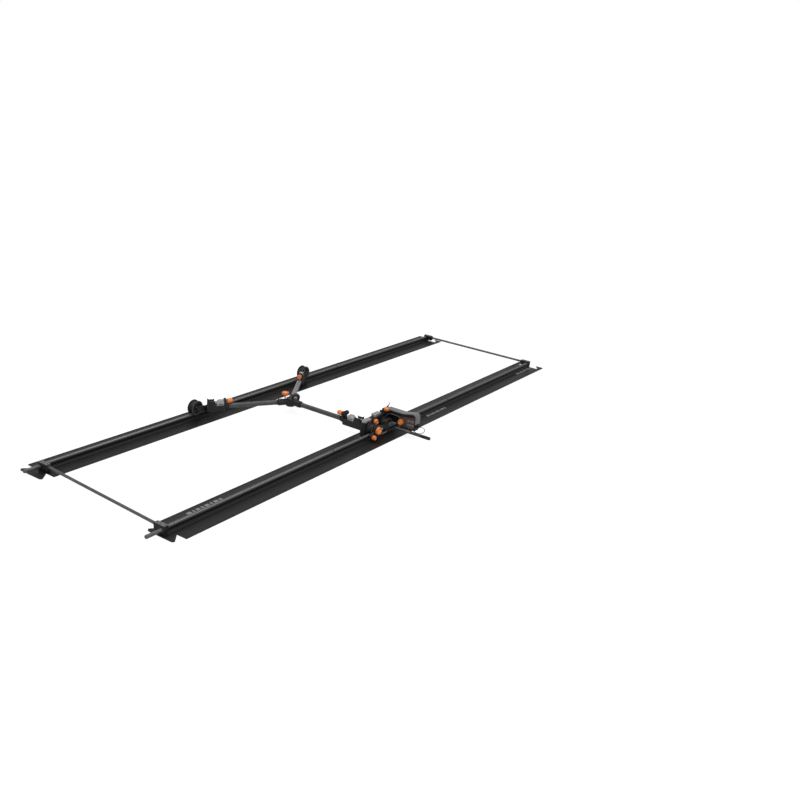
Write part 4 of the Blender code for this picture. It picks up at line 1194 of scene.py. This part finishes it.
def make_arch_trim():
    """A thin grey edge strip, a painted highlight along the arch's front edge, that follows the arch over the
    rail, on the side towards the wheels.
    """
    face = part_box("control_panel")[1].x
    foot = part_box("control_box")[0].z + 0.004
    left, right, top = -0.066, 0.026, 0.108
    small, large = 0.016, 0.032
    path = [(left, foot), *arc((left + small, top - small), small, 180, 90, 7)]
    path += [*arc((right - large, top - large), large, 90, 0, 9), (right, foot)]
    bm = bmesh.new()
    strip = [*path, *reversed(offset_path(path, 0.0032))]
    add_prism(bm, strip, face - 0.0022, face + 0.0014, "YZ", 0.0005)
    piece("arch_painted_highlight", bm, END_GREY, "dolly")


def offset_path(path, distance):
    """The path moved to its left by a distance."""
    moved = []
    for i, point in enumerate(path):
        before, after = path[max(0, i - 1)], path[min(len(path) - 1, i + 1)]
        run = Vector((after[0] - before[0], after[1] - before[1])).normalized()
        moved.append((point[0] - run.y * distance, point[1] + run.x * distance))
    return moved


def make_panel_details():
    """A raised frame round the keys, the rubber keys themselves, and small indicator windows."""
    panel_low, panel_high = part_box("control_panel")
    face = panel_low.x
    lows, highs = zip(*(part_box(f"key_{i}") for i in range(1, 7)))
    left, right = min(v.y for v in lows) - 0.0042, max(v.y for v in highs) + 0.0042
    bottom, top = min(v.z for v in lows) - 0.0042, max(v.z for v in highs) + 0.0042
    bm = bmesh.new()
    wide = 0.0016
    bars = (
        ((left, bottom), (right, bottom + wide)),
        ((left, top - wide), (right, top)),
        ((left, bottom), (left + wide, top)),
        ((right - wide, bottom), (right, top)),
    )
    for (y0, z0), (y1, z1) in bars:
        add_block(bm, (face - 0.0007, y0, z0), (face + 0.0004, y1, z1), 0.0003)
    piece("key_frame", bm, KEY, "dolly")
    for number in range(1, 7):
        make_key(number)
    corners = [
        (panel_low.y + 0.0045, panel_low.z + 0.0045),
        (panel_low.y + 0.0045, panel_high.z - 0.0060),
        (panel_high.y - 0.0045, panel_low.z + 0.0045),
        (panel_high.y - 0.0045, panel_high.z - 0.0200),
    ]
    places = [((face + 0.0002, y, z), -X) for y, z in corners]
    add_screws("panel_screws", "dolly", places, 0.0019, height=0.0010)
    bm = bmesh.new()
    for i in range(3):
        y = (left + right) / 2 + (i - 1) * 0.009
        low, high = (face - 0.0006, y - 0.0022, bottom - 0.0062), (face + 0.0004, y + 0.0022, bottom - 0.0042)
        add_block(bm, low, high, 0.0003)
    piece("indicator_windows", bm, MARK, "dolly")


def make_key(number):
    """A soft key with a domed top and a plain raised mark: a bar on the odd keys and a dot on the even."""
    node = f"key_{number}"
    low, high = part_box(node)
    bm = bmesh.new()
    add_prism(bm, rounded((low.y, low.z), (high.y, high.z), 0.0022), low.x, high.x, "YZ", 0.0009)
    key = piece(f"{node}_cap", bm, KEY, node)
    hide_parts(node)
    x, y, z = low.x, (low.y + high.y) / 2, (low.z + high.z) / 2
    bm = bmesh.new()
    if number % 2:
        add_block(bm, (x - 0.0002, y - 0.0024, z - 0.0006), (x + 0.0004, y + 0.0024, z + 0.0006), 0.0002)
    else:
        dot = [(0, 0.0003), (0.0016, 0.0003), (0.0016, -0.0004), (0, -0.0004)]
        add_rings(bm, dot, 16, spin_to(-X, (x, y, z)))
    piece(f"{node}_mark", bm, MARK, node)


def make_connector():
    """The end connector: a knurled ring on a flange, tapering into a ribbed sleeve."""
    low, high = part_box("lead_connector")
    place = ((low.x + high.x) / 2, high.y, (low.z + high.z) / 2)
    radius = (high.z - low.z) / 2
    grip, knurl = radius * 0.96, flutes(24, 0.06)
    levels = [
        (0, 0), (radius, 0), (radius, 0.0022), (radius * 0.90, 0.0028),
        (grip, 0.0036, knurl), (grip, 0.0120, knurl), (radius * 0.84, 0.0132), (radius * 0.66, 0.0138),
    ]
    for i in range(5):
        at, reach = 0.0140 + i * 0.0019, radius * (0.62 - 0.06 * i)
        inner = reach * 0.84
        levels += [(reach, at), (reach, at + 0.0009), (inner, at + 0.0011), (inner, at + 0.0018)]
    levels += [(0.0027, 0.0237), (0, 0.0237)]
    part = turned("lead_connector_body", levels, 96, spin_to(-Y, place), RUBBER, "dolly")
    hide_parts("lead_connector")


def make_antenna():
    """The aerial: a turned foot, a ribbed sleeve and a slim whip with a rounded tip."""
    place = pivot("antenna_tilt")[0]
    tip = max((v.co for v in NODES["antenna"].data.vertices), key=lambda co: (co - place).length)
    axis = Vector((place.x, tip.y, tip.z)) - place
    levels = [(0, -0.0025), (0.0046, -0.0025), (0.0048, -0.0018), (0.0048, 0.0022), (0.0036, 0.0034)]
    for i in range(4):
        at = 0.0042 + i * 0.0020
        levels += [(0.0034, at), (0.0034, at + 0.0011), (0.0027, at + 0.0013), (0.0027, at + 0.0019)]
    levels += [(0.0022, 0.0126), (0.0020, 0.0313), (0.0016, 0.0328), (0.0008, 0.0336), (0, 0.0338)]
    aerial = turned("antenna_whip", levels, 28, spin_to(axis, place), RUBBER, "antenna")
    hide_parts("antenna")


def make_lever():
    """The engage lever's ribbed grip and its pivot screw."""
    finish_node("engage_lever", TUBE, 0.0012)
    x, pivot_y, top = pivot("engage_lever_swing")[0]
    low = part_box("engage_lever")[0]
    half, bottom = 0.0083, low.z - 0.0006
    bm = bmesh.new()
    outline = stadium((x, low.y + half + 0.0002), (x, low.y + 0.062), half)
    add_prism(bm, outline, bottom, top + 0.0006, "XY", 0.0022)
    wide = half + 0.0005
    for i in range(8):
        y = low.y + 0.014 + i * 0.0056
        add_block(bm, (x - wide, y, bottom - 0.0004), (x + wide, y + 0.0024, top + 0.0011), 0.0008)
    piece("engage_lever_grip", bm, RUBBER, "engage_lever")
    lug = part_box("control_box")[0].z + 0.004
    place = (x, pivot_y, lug - 0.0001)
    add_screws("lever_pivot_screw", "dolly", [(place, Z)], 0.0052, STEEL, 0.0030)


make_camera()
make_lead()
make_world()
make_stage()
make_rails()
make_rail_marks()
make_saddles()
make_hub()
make_tubes()
make_cradles()
make_ball_handle()
for letter in "abcd":
    make_wheel(letter)
make_axle_ends()
make_drive()
make_control_box()
for node in ("hub_knob", "axle_knob", "brake_knob", "clutch_knob", "box_clamp_knob", "speed_dial"):
    make_knob(node)
for letter in "abc":
    make_knob(f"cradle_knob_{letter}", count=14)
make_dial_marks()
make_connector()
make_antenna()
make_lever()

bpy.context.scene.view_settings.view_transform = "Standard"
